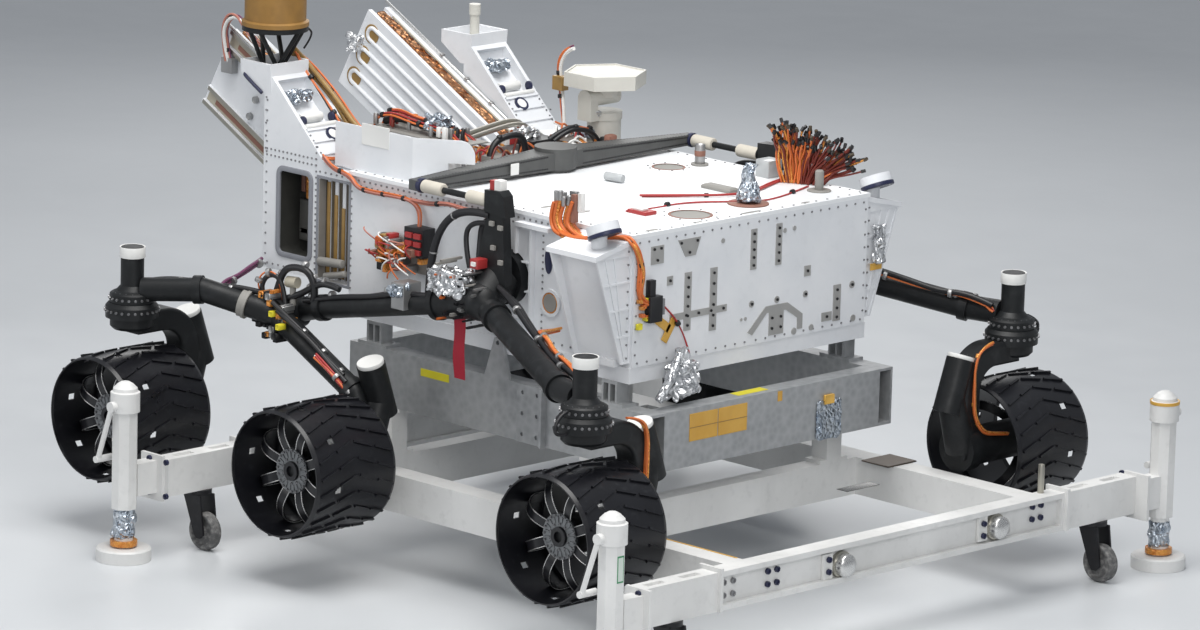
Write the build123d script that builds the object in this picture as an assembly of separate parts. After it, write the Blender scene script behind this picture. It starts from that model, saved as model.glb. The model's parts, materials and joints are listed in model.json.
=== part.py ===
from build123d import *
import os
from math import atan2, cos, pi, radians, sin

# Mars rover on its assembly stand, in millimetres: +X forward, +Y to the rover's left, +Z up.
# The floor is Z = 0. Sizes below count X from a datum between the wheels, and every node is
# then moved so that the middle of the whole outline is at X = 0.

# Wheels
FRONT_X, MIDDLE_X, REAR_X = 1000, -416, -1448
FRONT_HUB_Z, MIDDLE_HUB_Z, REAR_HUB_Z = 465, 437, 457
HALF_TRACK = 1150
DRUM_RADIUS = 243
WHEEL_WIDTH = 400
DRUM_WALL = 5
DRUM_CROWN = 2
RIM_ROLL = 8
RIM_WIDTH = 15
LUG_COUNT = 24
LUG_HEIGHT, LUG_THICK, LUG_LENGTH, LUG_SLANT = 7, 9, 84, 20
LUG_ROWS = (-142, -48, 48, 142)
WINDOW_COUNT, WINDOW_LONG, WINDOW_WIDE = 8, 24, 30
STIFF_RING_Y, STIFF_RING_WIDTH, STIFF_RING_DEPTH = 34, 10, 12
SPOKE_COUNT, SPOKE_WIDTH, SPOKE_THICK = 8, 36, 5
HUB_DISC_RADIUS, HUB_DISC_OUT, HUB_DISC_THICK = 88, 93, 12
HUB_RING_RADIUS, HUB_RING_LONG = 36, 14
HUB_HOLE_COUNT, HUB_HOLE_CIRCLE, HUB_HOLE_RADIUS = 10, 62, 7

# Hub drives and steering
RUNNING_GAP = 0.05
DRIVE_SHAFT, DRIVE_SHAFT_LONG = 20, 15
DRIVE_RADIUS, DRIVE_COLLAR_RADIUS, DRIVE_COLLAR_LONG = 74, 88, 60
MOTOR_RADIUS, MOTOR_CAP_RADIUS, MOTOR_CAP_THICK = 55, 50, 14
MOTOR_LOW_Y, MOTOR_HIGH_Y = 355, 285
MOTOR_LOW_Z, MOTOR_HIGH_Z = 150, 350
STEER_HEIGHT = 435
STEER_GAP = 1
STEER_SPINDLE, STEER_SPINDLE_LONG = 30, 25
CAN_RADIUS, CAN_TOP, CAN_CAP_RADIUS, CAN_CAP_THICK = 45, 195, 48, 19
UPPER_FLANGE_RADIUS, UPPER_FLANGE_THICK = 86, 38
LOWER_FLANGE_RADIUS, LOWER_FLANGE_THICK = 102, 58
STEER_DRUM_RADIUS, STEER_DRUM_THICK = 84, 46
NECK_INBOARD, NECK_BEND, NECK_THICK, NECK_WIDTH, NECK_EDGE = 262, 130, 88, 104, 14

# Body
BODY_FRONT, BODY_REAR = 706, -800
HALF_BODY = 625
BODY_BOTTOM, BODY_TOP = 942, 1425
DECK_THICK, DECK_LIP = 15, 12
DECK_TOP = BODY_TOP + DECK_THICK
PANEL_THICK = 12
PAD_THICK = 3
LOWER_RAIL_HIGH, LOWER_RAIL_OUT = 60, 8
PORT_RADIUS, PORT_DEPTH = 85, 4
MAST_SEAT_X, MAST_SEAT_Y, MAST_SEAT_CIRCLE, MAST_SEAT_HOLE, MAST_SEAT_COUNT = 580, -195, 105, 4.2, 8
SMALL_PORT_X, SMALL_PORT_Y, SMALL_PORT_RADIUS = -102, 385, 66
SIDE_PORT_X, SIDE_PORT_Z, SIDE_PORT_RADIUS, SIDE_PORT_RING = 291, 1114, 40, 12
COLUMN_X, COLUMN_WIDTH, COLUMN_OUT = 157, 92, 24
COLUMN_CAP_X, COLUMN_CAP_LONG, COLUMN_CAP_THICK = 220, 174, 16

# Corner brackets on the body
BRACKET_REAR = 460
BRACKET_TOP_OUT, BRACKET_LOW_OUT, BRACKET_LOW_Z = 190, 46, 959
BRACKET_PLATE, BRACKET_WEB_IN = 8, 42
BRACKET_CAP_DROP, BRACKET_CAP_THICK = 44, 19
POCKET_ROWS, POCKET_RIB, POCKET_DEPTH, POCKET_EDGE = 4, 7, 4, 10
POD_RADIUS, POD_LONG, POD_TILT, POD_X, POD_LIFT, POD_FOOT = 62, 44, 24, 668, 42, 30

# Rear towers and heat exchangers
TOWER_REAR, TOWER_FRONT = -1290, -800
TOWER_WIDTH = 190
TOWER_BOTTOM, TOWER_TOP = 985, 1780
WINDOW_REAR, WINDOW_FRONT, WINDOW_LOW, WINDOW_HIGH = -1208, -1011, 1046, 1396
WINDOW_CORNER, WINDOW_DEEP = 34, 120
BAY_REAR, BAY_FRONT, BAY_LOW, BAY_HIGH, BAY_DEEP = -975, -808, 990, 1382, 55
BAY_SLATS, SLAT_WIDTH, SLAT_OUT = 4, 18, 20
BOX_REAR, BOX_FRONT, BOX_DEPTH, BOX_FLARE, BOX_SKIN = -1420, -1250, 120, 10, 8
BOX_WELL = 35
TOWER_POCKET, TOWER_POCKET_DEEP, TOWER_POCKET_EDGE = (0.42, 0.95), 45, 16
TOWER_RIBS, TOWER_RIB_THICK, TOWER_RIB_OUT = (0.10, 0.24, 0.37), 8, 8
BAY_WALL_THICK = 60
REAR_SEAT_Z, REAR_SEAT_CIRCLE, REAR_SEAT_HOLE, REAR_SEAT_DEEP, REAR_SEAT_COUNT = 1205, 140, 6.6, 30, 4
EXCHANGER_Y = 360
EXCHANGER_TILT = 28
EXCHANGER_LONG, EXCHANGER_HIGH, EXCHANGER_THICK = 900, 353, 110
EXCHANGER_PLATE, EXCHANGER_INSET = 20, 12
EXCHANGER_REAR_X, EXCHANGER_TOP = -1705, 1830
EXCHANGER_RAIL, EXCHANGER_RAIL_OUT, EXCHANGER_RAIL_PITCH = 18, 12, 66
HAIRPIN_COUNT, HAIRPIN_GAUGE, HAIRPIN_PITCH, HAIRPIN_HALF = 3, 9, 104, 26
STANDOFF_RADIUS = 18

# Suspension
PIVOT_X, PIVOT_Z = 75, 1180
PIVOT_DISC_RADIUS, PIVOT_DISC_THICK = 102, 45
UPRIGHT_X, UPRIGHT_TOP, UPRIGHT_IN, UPRIGHT_THICK = 110, 1450, 85, 40
HEAD_LOW, HEAD_HIGH = 1440, 1525
ELBOW_OUT, ELBOW_Z, ELBOW_RADIUS = 155, 1105, 74
ELBOW_SLEEVE, ELBOW_SLEEVE_END, ELBOW_SLEEVE_LONG, ELBOW_RING, ELBOW_RING_LONG = 68, 58, 240, 65, 26
BOGIE_X, BOGIE_Y, BOGIE_Z = -930, 820, 890
ARM_RADIUS, REAR_ARM_RADIUS, BOGIE_ARM_RADIUS = 47, 42, 46
ARM_COLLAR_EXTRA, ARM_COLLAR_LONG = 9, 34
ARM_ABOVE_FLANGE = 52
PIVOT_EYE_RADIUS, PIVOT_EYE_LONG = 62, 70
# Hoses from the upright down to the elbow: radius, bend radius, and the points of each route
HOSES = ((15, 48, ((80, -742, 1424), (-40, -745, 1432), (-150, -762, 1366), (-196, -780, 1220), (-198, -782, 1072))),
         (10, 34, ((80, -739, 1392), (-34, -743, 1392), (-38, -756, 1280), (40, -776, 1140))),
         (16, 30, ((80, -706, 1400), (10, -706, 1400), (14, -724, 1290), (50, -766, 1150))))
STREAMER_X, STREAMER_Y, STREAMER_TOP, STREAMER_LONG, STREAMER_WIDE, STREAMER_THICK = -10, -800, 1070, 274, 60, 2

# Differential
BAR_X, BAR_BOTTOM, BAR_HALF = -330, 1453, 745
BAR_MIDDLE_HIGH, BAR_END_HIGH, BAR_MIDDLE_WIDE, BAR_END_WIDE = 68, 40, 120, 44
BAR_BOSS_RADIUS, BAR_BOSS_HIGH, BAR_EYE = 82, 12, 26
LINK_RADIUS, LINK_SLEEVE_RADIUS, LINK_SLEEVE_LONG, LINK_SEAT = 12, 24, 110, 0.3

# Deck equipment
COVER_REAR, COVER_FRONT, COVER_OUT, COVER_HIGH, COVER_SKIN = -916, -491, HALF_BODY - 25, 170, 5
COVER_TURN, COVER_TURN_LONG, COVER_ROUND, COVER_FOOT = 35, 240, 60, 22
HGA_X, HGA_Y = -520, 450
HGA_AZ_Z, HGA_EL_Z = 1560, 1645
HGA_DRUM_RADIUS, HGA_COLUMN_RADIUS, HGA_COLUMN_HIGH = 66, 70, 30
HGA_SPINDLE, HGA_PIN = 25, 14
HGA_ARM_OUT, HGA_ARM_THICK, HGA_EYE_RADIUS = 110, 40, 36
HGA_PLATE_RADIUS, HGA_PLATE_LIFT, HGA_PLATE_THICK, HGA_RIM = 165, 45, 55, 8
TRUSS_X, TRUSS_Y = -1335, -534
TRUSS_TOP, TRUSS_RING_OUT, TRUSS_RING_IN, TRUSS_RING_THICK = 1915, 128, 104, 20
TRUSS_HEAD_CIRCLE, TRUSS_FOOT_CIRCLE, TRUSS_ROD, TRUSS_PAD = 112, 45, 9, 10
CAN_ANTENNA_RADIUS, CAN_ANTENNA_HIGH = 127, 210
POST_RADIUS, POST_HIGH, POST_FLANGE_RADIUS, POST_RING_RADIUS, POST_RING_HIGH = 19, 95, 38, 23, 42

# Assembly stand
JACK_Y, FRONT_JACK_X, REAR_JACK_X = 1490, 1490, -1095
JACK_TOP, JACK_RADIUS, JACK_FLATS = 690, 50, 8
JACK_HEAD_RADIUS, JACK_HEAD_LOW, JACK_HEAD_HIGH = 56, 575, 650
JACK_INNER_RADIUS, JACK_INNER_TOP = 36, 200
JACK_FOOT_RADIUS, JACK_FOOT_HIGH = 105, 50
CRANK_Z, CRANK_HUB, CRANK_LONG, CRANK_SIDE = 600, 20, 215, 76
CRANK_ARM, CRANK_GRIP, CRANK_GRIP_LONG = 10, 13, 78
TROLLEY_BOTTOM, TROLLEY_TOP = 233, 378
FRONT_BEAM_X, REAR_BEAM_X, BEAM_END_Y, CHANNEL_END_Y = 1450, -1055, 1340, 930
TROLLEY_BEAM, CHANNEL_DEPTH, CHANNEL_FLANGE = 80, 24, 20
CROSS_X, POST_FOOT = (560, -560), 150
RAIL_Y, RAIL_WIDTH = 785, 100
SLOT_LONG, SLOT_WIDE, SLOT_DEEP = 92, 30, 12
END_PLATE, END_PLATE_EXTRA = 14, 16
CRADLE_BOTTOM, CRADLE_TOP = 570, 790
CRADLE_Y, CRADLE_WIDTH, CRADLE_SKIN = 610, 80, 10
CRADLE_FRONT, CRADLE_REAR = 850, -760
POST_X = (620, -640)
JOINT_X, JOINT_HALF, JOINT_PLATE, JOINT_FLANGE, JOINT_FLANGE_OUT = 225, 68, 8, 12, 26
JOINT_HOLE, JOINT_HOLE_ROWS, JOINT_HOLE_X = 8, (600, 680, 760), 38
LUG_X, LUG_BASE, LUG_HIGH, LUG_TIP, LUG_PLATE, LUG_EYE, LUG_GUSSET = 40, 66, 150, 17, 14, 9, 50
CASTER_Y = 1150
FRONT_CASTER_X, REAR_CASTER_X = FRONT_BEAM_X, REAR_BEAM_X
CASTER_RADIUS, CASTER_WIDTH, CASTER_TRAIL = 72, 46, 42
CASTER_PLATE_RADIUS, CASTER_PLATE_THICK, CASTER_CHEEK, CASTER_CHEEK_GAP = 52, 18, 8, 7
CASTER_STUD, CASTER_STUD_LONG, CASTER_AXLE = 12, 40, 8

# The outline runs from the rear corner of the heat exchangers to the front jack feet.
REAR_END = EXCHANGER_REAR_X - EXCHANGER_HIGH * sin(radians(EXCHANGER_TILT))
FRONT_END = FRONT_JACK_X + JACK_FOOT_RADIUS
SHIFT_X = -(REAR_END + FRONT_END) / 2


# Shape helpers

def block(x0, x1, y0, y1, z0, z1):
    """A box between two corners."""
    low = (min(x0, x1), min(y0, y1), min(z0, z1))
    size = (abs(x1 - x0), abs(y1 - y0), abs(z1 - z0))
    middle = [a + b / 2 for a, b in zip(low, size)]
    return Pos(*middle) * Box(*size)


def rod(start, end, radius, end_radius=None):
    """A round bar or cone from one point to another."""
    start, end = Vector(*start), Vector(*end)
    plane = Plane(origin=start, z_dir=end - start)
    length = (end - start).length
    align = (Align.CENTER, Align.CENTER, Align.MIN)
    if end_radius is None:
        return plane * Cylinder(radius, length, align=align)
    return plane * Cone(radius, end_radius, length, align=align)


def bar(points, radius):
    """Round bars through a list of points, with a ball at each bend."""
    solid = None
    for start, end in zip(points[:-1], points[1:]):
        piece = rod(start, end, radius)
        solid = piece if solid is None else solid + piece
    for bend in points[1:-1]:
        solid = solid + Pos(*bend) * Sphere(radius)
    return solid


def collar(start, end, radius):
    """A bolted collar round the end of an arm, at its start point."""
    start, end = Vector(*start), Vector(*end)
    reach = start + (end - start).normalized() * ARM_COLLAR_LONG
    return rod(tuple(start), tuple(reach), radius + ARM_COLLAR_EXTRA)


def turned(profile, x, y):
    """A closed profile of radius and height points, turned about an upright axis."""
    face = Plane.XZ * make_face(Polyline(*profile, close=True))
    return Pos(x, y, 0) * revolve(face, axis=Axis.Z)


def side_view(points, y0, y1):
    """An outline drawn in X and Z, carried from y0 to y1."""
    plane = Plane(origin=(0, max(y0, y1), 0), x_dir=(1, 0, 0), z_dir=(0, -1, 0))
    face = plane * make_face(Polyline(*points, close=True))
    return extrude(face, abs(y1 - y0), dir=(0, -1, 0))


def end_plane(x):
    """The plane across the rover at one X, with Y to the right and Z up."""
    return Plane(origin=(x, 0, 0), x_dir=(0, 1, 0), z_dir=(1, 0, 0))


def end_view(points, x0, x1):
    """An outline drawn in Y and Z, carried from x0 to x1."""
    face = end_plane(min(x0, x1)) * make_face(Polyline(*points, close=True))
    return extrude(face, abs(x1 - x0), dir=(1, 0, 0))


def plan_view(points, z0, z1):
    """An outline drawn in X and Y, carried from z0 to z1."""
    face = Pos(0, 0, min(z0, z1)) * make_face(Polyline(*points, close=True))
    return extrude(face, abs(z1 - z0), dir=(0, 0, 1))


def rounded_window(x0, x1, y0, y1, z0, z1, corner):
    """A rounded rectangle drawn in X and Z, carried from y0 to y1."""
    plane = Plane(origin=((x0 + x1) / 2, max(y0, y1), (z0 + z1) / 2), x_dir=(1, 0, 0), z_dir=(0, -1, 0))
    face = plane * RectangleRounded(abs(x1 - x0), abs(z1 - z0), corner)
    return extrude(face, abs(y1 - y0), dir=(0, -1, 0))


def left_of(shape):
    """The same shape on the rover's left side."""
    return mirror(shape, about=Plane.XZ)


# Wheels. Each is drawn at the origin on a Y axle, its outer face towards -Y.

def drum():
    """Crowned wheel skin with rolled rims, turned about the axle."""
    half, crown = WHEEL_WIDTH / 2, DRUM_RADIUS - DRUM_CROWN
    outer_end, inner_end = DRUM_RADIUS - RIM_ROLL, DRUM_RADIUS - RIM_ROLL - DRUM_WALL
    edge = half - RIM_WIDTH
    lines = [Line((-half, outer_end), (-edge, crown)),
             ThreePointArc((-edge, crown), (0, DRUM_RADIUS), (edge, crown)),
             Line((edge, crown), (half, outer_end)),
             Line((half, outer_end), (half, inner_end)),
             Line((half, inner_end), (edge, crown - DRUM_WALL)),
             ThreePointArc((edge, crown - DRUM_WALL), (0, DRUM_RADIUS - DRUM_WALL), (-edge, crown - DRUM_WALL)),
             Line((-edge, crown - DRUM_WALL), (-half, inner_end)),
             Line((-half, inner_end), (-half, outer_end))]
    return revolve(end_plane(0) * make_face(lines), axis=Axis.Y)


def lug(row, index):
    """One short slanted lug, square to the skin; rows slant both ways from the middle."""
    slant = LUG_SLANT if row < 0 else -LUG_SLANT
    offset = 0.5 if abs(row) > WHEEL_WIDTH / 4 else 0
    seat = DRUM_RADIUS - DRUM_CROWN - 1
    height = DRUM_RADIUS + LUG_HEIGHT - seat
    shape = Box(LUG_THICK, LUG_LENGTH, height, align=(Align.CENTER, Align.CENTER, Align.MIN))
    return Rot(0, 360 / LUG_COUNT * (index + offset), 0) * Pos(0, row, seat) * Rot(0, 0, slant) * shape


def spoke():
    """One bowed spring spoke from the hub disc out to the stiffening ring."""
    foot_radius = DRUM_RADIUS - DRUM_WALL - STIFF_RING_DEPTH + 3
    root_radius, root_y = HUB_DISC_RADIUS - 8, -HUB_DISC_OUT - HUB_DISC_THICK + 2
    bow_radius = 0.62 * foot_radius
    outer = ThreePointArc((root_y, root_radius), (root_y - 12, bow_radius), (STIFF_RING_Y, foot_radius))
    inner = ThreePointArc((root_y + SPOKE_THICK, root_radius), (root_y - 12 + SPOKE_THICK, bow_radius - 4),
                          (STIFF_RING_Y, foot_radius - SPOKE_THICK - 3))
    face = make_face([outer, Line(outer @ 1, inner @ 1), inner, Line(inner @ 0, outer @ 0)])
    return extrude(end_plane(-SPOKE_WIDTH / 2) * face, SPOKE_WIDTH, dir=(1, 0, 0))


def wheel():
    """Drum, lugs, stiffening ring, spokes and hub disc as one machined piece."""
    lugs = [lug(row, index) for row in LUG_ROWS for index in range(LUG_COUNT)]
    skin = drum().fuse(*lugs)
    ring_out = DRUM_RADIUS - DRUM_WALL + 1
    ring = rod((0, STIFF_RING_Y - STIFF_RING_WIDTH / 2, 0), (0, STIFF_RING_Y + STIFF_RING_WIDTH / 2, 0), ring_out)
    ring = ring - rod((0, STIFF_RING_Y - STIFF_RING_WIDTH, 0), (0, STIFF_RING_Y + STIFF_RING_WIDTH, 0),
                      ring_out - 1 - STIFF_RING_DEPTH)
    window = Pos(0, 0, DRUM_RADIUS) * Box(WINDOW_LONG, WINDOW_WIDE, 6 * DRUM_WALL)
    for index in range(WINDOW_COUNT):
        turn = 360 / WINDOW_COUNT * index + 180 / LUG_COUNT
        skin = skin - Rot(0, turn, 0) * Pos(0, LUG_ROWS[0] / 2 + LUG_ROWS[1] / 2, 0) * window
    face_y = -HUB_DISC_OUT
    disc = rod((0, face_y - HUB_DISC_THICK, 0), (0, face_y, 0), HUB_DISC_RADIUS)
    boss = rod((0, face_y - HUB_DISC_THICK - HUB_RING_LONG, 0), (0, face_y - HUB_DISC_THICK, 0), HUB_RING_RADIUS)
    hub = disc + boss
    for index in range(HUB_HOLE_COUNT):
        hole = rod((0, face_y - HUB_DISC_THICK - 1, HUB_HOLE_CIRCLE), (0, face_y + 1, HUB_HOLE_CIRCLE),
                   HUB_HOLE_RADIUS)
        hub = hub - Rot(0, 360 / HUB_HOLE_COUNT * index, 0) * hole
    bore = rod((0, face_y + 1, 0), (0, face_y - HUB_DISC_THICK - HUB_RING_LONG - 1, 0), DRIVE_SHAFT + RUNNING_GAP)
    spokes = [Rot(0, 360 / SPOKE_COUNT * (index + 0.5), 0) * spoke() for index in range(SPOKE_COUNT)]
    return (skin + ring + hub).fuse(*spokes) - bore


# Steering. Each is drawn for the right side at its own wheel.

def steering_housing(x, hub_z):
    """The actuator that stays on the arm: motor can, cap and upper flange."""
    z = hub_z + STEER_HEIGHT
    flange_top = z + UPPER_FLANGE_THICK
    profile = [(0, z - STEER_SPINDLE_LONG), (STEER_SPINDLE, z - STEER_SPINDLE_LONG), (STEER_SPINDLE, z),
               (UPPER_FLANGE_RADIUS, z), (UPPER_FLANGE_RADIUS, flange_top - 6), (UPPER_FLANGE_RADIUS - 8, flange_top),
               (CAN_RADIUS + 16, flange_top + 8), (CAN_RADIUS, flange_top + 26), (CAN_RADIUS, z + CAN_TOP),
               (CAN_CAP_RADIUS, z + CAN_TOP), (CAN_CAP_RADIUS, z + CAN_TOP + CAN_CAP_THICK - 5),
               (CAN_CAP_RADIUS - 6, z + CAN_TOP + CAN_CAP_THICK), (0, z + CAN_TOP + CAN_CAP_THICK)]
    return turned(profile, x, -HALF_TRACK)


def drive(x, hub_z):
    """Hub gearbox with its leaning motor housing, white cap and output shaft."""
    inner_y, outer_y = -HALF_TRACK + NECK_INBOARD + 28, -HALF_TRACK - HUB_DISC_OUT + 1
    gearbox = rod((x, inner_y, hub_z), (x, outer_y, hub_z), DRIVE_RADIUS)
    ring = rod((x, inner_y - DRIVE_COLLAR_LONG, hub_z), (x, inner_y, hub_z), DRIVE_COLLAR_RADIUS)
    shaft = rod((x, outer_y, hub_z), (x, outer_y - DRIVE_SHAFT_LONG, hub_z), DRIVE_SHAFT)
    low = Vector(x, -HALF_TRACK + MOTOR_LOW_Y, hub_z + MOTOR_LOW_Z)
    high = Vector(x, -HALF_TRACK + MOTOR_HIGH_Y, hub_z + MOTOR_HIGH_Z)
    motor = rod(tuple(low), tuple(high), MOTOR_RADIUS)
    cap_top = high + (high - low).normalized() * MOTOR_CAP_THICK
    cap = rod(tuple(high), tuple(cap_top), MOTOR_CAP_RADIUS)
    throat = rod((x, inner_y - DRIVE_COLLAR_LONG / 2, hub_z), tuple(low + (high - low) * 0.3),
                 DRIVE_RADIUS - 10, MOTOR_RADIUS - 2)
    return gearbox + ring + shaft + motor + cap + throat


def gooseneck(x, hub_z):
    """Flat-sided band that leaves the steering drum and bends down inside the wheel."""
    drum_z = hub_z + STEER_HEIGHT - STEER_GAP - LOWER_FLANGE_THICK - STEER_DRUM_THICK / 2
    leg_y = -HALF_TRACK + NECK_INBOARD
    centre_y, centre_z = leg_y - NECK_BEND, drum_z - NECK_BEND
    inner, outer = NECK_BEND - NECK_THICK / 2, NECK_BEND + NECK_THICK / 2
    foot_z = hub_z - DRIVE_RADIUS / 2
    slope = cos(radians(45))
    lines = [Line((-HALF_TRACK, centre_z + inner), (centre_y, centre_z + inner)),
             ThreePointArc((centre_y, centre_z + inner), (centre_y + inner * slope, centre_z + inner * slope),
                           (centre_y + inner, centre_z)),
             Line((centre_y + inner, centre_z), (centre_y + inner, foot_z)),
             Line((centre_y + inner, foot_z), (centre_y + outer, foot_z)),
             Line((centre_y + outer, foot_z), (centre_y + outer, centre_z)),
             ThreePointArc((centre_y + outer, centre_z), (centre_y + outer * slope, centre_z + outer * slope),
                           (centre_y, centre_z + outer)),
             Line((centre_y, centre_z + outer), (-HALF_TRACK, centre_z + outer)),
             Line((-HALF_TRACK, centre_z + outer), (-HALF_TRACK, centre_z + inner))]
    band = extrude(end_plane(x - NECK_WIDTH / 2) * make_face(lines), NECK_WIDTH, dir=(1, 0, 0))
    sides = band.faces().sort_by(Axis.X)
    return fillet(sides[0].edges() + sides[-1].edges(), NECK_EDGE)


def knuckle(x, hub_z):
    """Lower flange, gooseneck and hub drive, which all steer together."""
    top = hub_z + STEER_HEIGHT - STEER_GAP
    flange_low = top - LOWER_FLANGE_THICK
    profile = [(0, flange_low - STEER_DRUM_THICK), (STEER_DRUM_RADIUS - 12, flange_low - STEER_DRUM_THICK),
               (STEER_DRUM_RADIUS, flange_low - STEER_DRUM_THICK + 12), (STEER_DRUM_RADIUS, flange_low),
               (LOWER_FLANGE_RADIUS, flange_low), (LOWER_FLANGE_RADIUS, top - 14), (LOWER_FLANGE_RADIUS - 12, top),
               (0, top)]
    head = turned(profile, x, -HALF_TRACK)
    bore = rod((x, -HALF_TRACK, top - STEER_SPINDLE_LONG), (x, -HALF_TRACK, top + 1), STEER_SPINDLE + RUNNING_GAP)
    return head + gooseneck(x, hub_z) + drive(x, hub_z) - bore


# Suspension, right side

def arm_end(hub_z, x):
    """Where an arm enters the steering actuator, just above its upper flange."""
    return (x, -HALF_TRACK + 14, hub_z + STEER_HEIGHT + ARM_ABOVE_FLANGE)


def rocker():
    """Pivot disc, upright, elbow housing with its rear sleeve, and the front and rear arms."""
    skin = -HALF_BODY
    disc = rod((PIVOT_X, skin, PIVOT_Z), (PIVOT_X, skin - PIVOT_DISC_THICK, PIVOT_Z), PIVOT_DISC_RADIUS)
    elbow = (PIVOT_X + 10, skin - ELBOW_OUT, ELBOW_Z)
    boss = rod((PIVOT_X, skin - PIVOT_DISC_THICK - 10, PIVOT_Z), elbow, 84, 66)
    near, far = skin - UPRIGHT_IN, skin - UPRIGHT_IN - UPRIGHT_THICK
    upright = side_view([(PIVOT_X - 70, PIVOT_Z - 20), (UPRIGHT_X + 62, PIVOT_Z - 10), (UPRIGHT_X + 42, UPRIGHT_TOP),
                         (UPRIGHT_X - 36, UPRIGHT_TOP)], near, far)
    head = side_view([(UPRIGHT_X - 50, HEAD_LOW), (UPRIGHT_X + 62, HEAD_LOW - 12), (UPRIGHT_X + 48, HEAD_HIGH - 18),
                      (UPRIGHT_X + 26, HEAD_HIGH), (UPRIGHT_X - 50, HEAD_HIGH - 4)], near + 6, far - 6)
    knob = Pos(*elbow) * Sphere(ELBOW_RADIUS)
    front_end = arm_end(FRONT_HUB_Z, FRONT_X - CAN_RADIUS)
    bend = (FRONT_X - 176, -HALF_TRACK + 50, FRONT_HUB_Z + STEER_HEIGHT + ARM_ABOVE_FLANGE + 2)
    start = (PIVOT_X + 100, skin - ELBOW_OUT - 20, ELBOW_Z - 35)
    front = bar([elbow, start, bend, front_end], ARM_RADIUS)
    rear_end = (BOGIE_X, -BOGIE_Y + PIVOT_EYE_LONG - 20, BOGIE_Z)
    rear_bend = (BOGIE_X + 150, -BOGIE_Y + PIVOT_EYE_LONG - 40, BOGIE_Z + 42)
    rear = bar([elbow, rear_bend, rear_end], REAR_ARM_RADIUS)
    centre = Vector(*elbow)
    along = (Vector(*rear_bend) - centre).normalized()
    sleeve_end = centre + along * ELBOW_SLEEVE_LONG
    sleeve = rod(elbow, tuple(sleeve_end), ELBOW_SLEEVE, ELBOW_SLEEVE_END)
    sleeve = sleeve + rod(tuple(sleeve_end - along * ELBOW_RING_LONG), tuple(sleeve_end), ELBOW_RING)
    eye = rod((BOGIE_X, -BOGIE_Y + PIVOT_EYE_LONG, BOGIE_Z), (BOGIE_X, -BOGIE_Y, BOGIE_Z), PIVOT_EYE_RADIUS)
    rings = collar(start, bend, ARM_RADIUS) + collar(bend, start, ARM_RADIUS)
    rings = rings + collar(rear_bend, elbow, REAR_ARM_RADIUS)
    return disc + boss + upright + head + knob + sleeve + front + rear + eye + rings


def bogie():
    """Pivot eye with the middle wheel's arm and the curved arm to the rear actuator."""
    eye = rod((BOGIE_X, -BOGIE_Y, BOGIE_Z), (BOGIE_X, -BOGIE_Y - PIVOT_EYE_LONG, BOGIE_Z), PIVOT_EYE_RADIUS)
    cap = rod((BOGIE_X, -BOGIE_Y - PIVOT_EYE_LONG, BOGIE_Z), (BOGIE_X, -BOGIE_Y - PIVOT_EYE_LONG - 14, BOGIE_Z), 36)
    pivot = (BOGIE_X, -BOGIE_Y - PIVOT_EYE_LONG + 18, BOGIE_Z)
    leg_y = -HALF_TRACK + NECK_INBOARD
    knee = (MIDDLE_X - 60, leg_y, MIDDLE_HUB_Z + 235)
    front = bar([pivot, knee, (MIDDLE_X, leg_y, MIDDLE_HUB_Z + 60)], REAR_ARM_RADIUS + 2)
    rear_bend = (BOGIE_X - 270, -HALF_TRACK + 140, REAR_HUB_Z + STEER_HEIGHT + ARM_ABOVE_FLANGE + 16)
    rear_end = arm_end(REAR_HUB_Z, REAR_X + CAN_RADIUS)
    rear = bar([pivot, rear_bend, rear_end], BOGIE_ARM_RADIUS)
    rings = collar(knee, pivot, REAR_ARM_RADIUS) + collar(rear_bend, rear_end, BOGIE_ARM_RADIUS)
    return eye + cap + front + rear + rings


def hoses():
    """Three bent hoses from the upright down to the elbow and the rear arm, as straight runs and arcs."""
    pieces = []
    for radius, bend, points in HOSES:
        path = FilletPolyline(*points, radius=bend)
        pieces.append(sweep(Plane(origin=path @ 0, z_dir=path % 0) * Circle(radius), path=path))
    return pieces


def streamer():
    """Plain cloth tag that hangs under the right rear arm."""
    half, face = STREAMER_WIDE / 2, STREAMER_Y - STREAMER_THICK / 2
    return block(STREAMER_X - half, STREAMER_X + half, face, face + STREAMER_THICK, STREAMER_TOP - STREAMER_LONG,
                 STREAMER_TOP)


# Body

def chassis_body():
    """Closed body box with its lower rails, port rings and the deck sunk-in seats below."""
    body = block(BODY_REAR, BODY_FRONT, -HALF_BODY, HALF_BODY, BODY_BOTTOM, BODY_TOP)
    for side in (-1, 1):
        ring = rod((SIDE_PORT_X, side * (HALF_BODY - 1), SIDE_PORT_Z),
                   (SIDE_PORT_X, side * (HALF_BODY + 7), SIDE_PORT_Z),
                   SIDE_PORT_RADIUS + SIDE_PORT_RING)
        well = rod((SIDE_PORT_X, side * (HALF_BODY - 2), SIDE_PORT_Z),
                   (SIDE_PORT_X, side * (HALF_BODY + 8), SIDE_PORT_Z),
                   SIDE_PORT_RADIUS)
        body = body + (ring - well)
    return body


def lower_rail():
    """Machined base of the body, standing out a little all round."""
    out = LOWER_RAIL_OUT
    return block(BODY_REAR, BODY_FRONT + out, -HALF_BODY - out, HALF_BODY + out, BODY_BOTTOM - LOWER_RAIL_HIGH,
                 BODY_BOTTOM)


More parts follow.
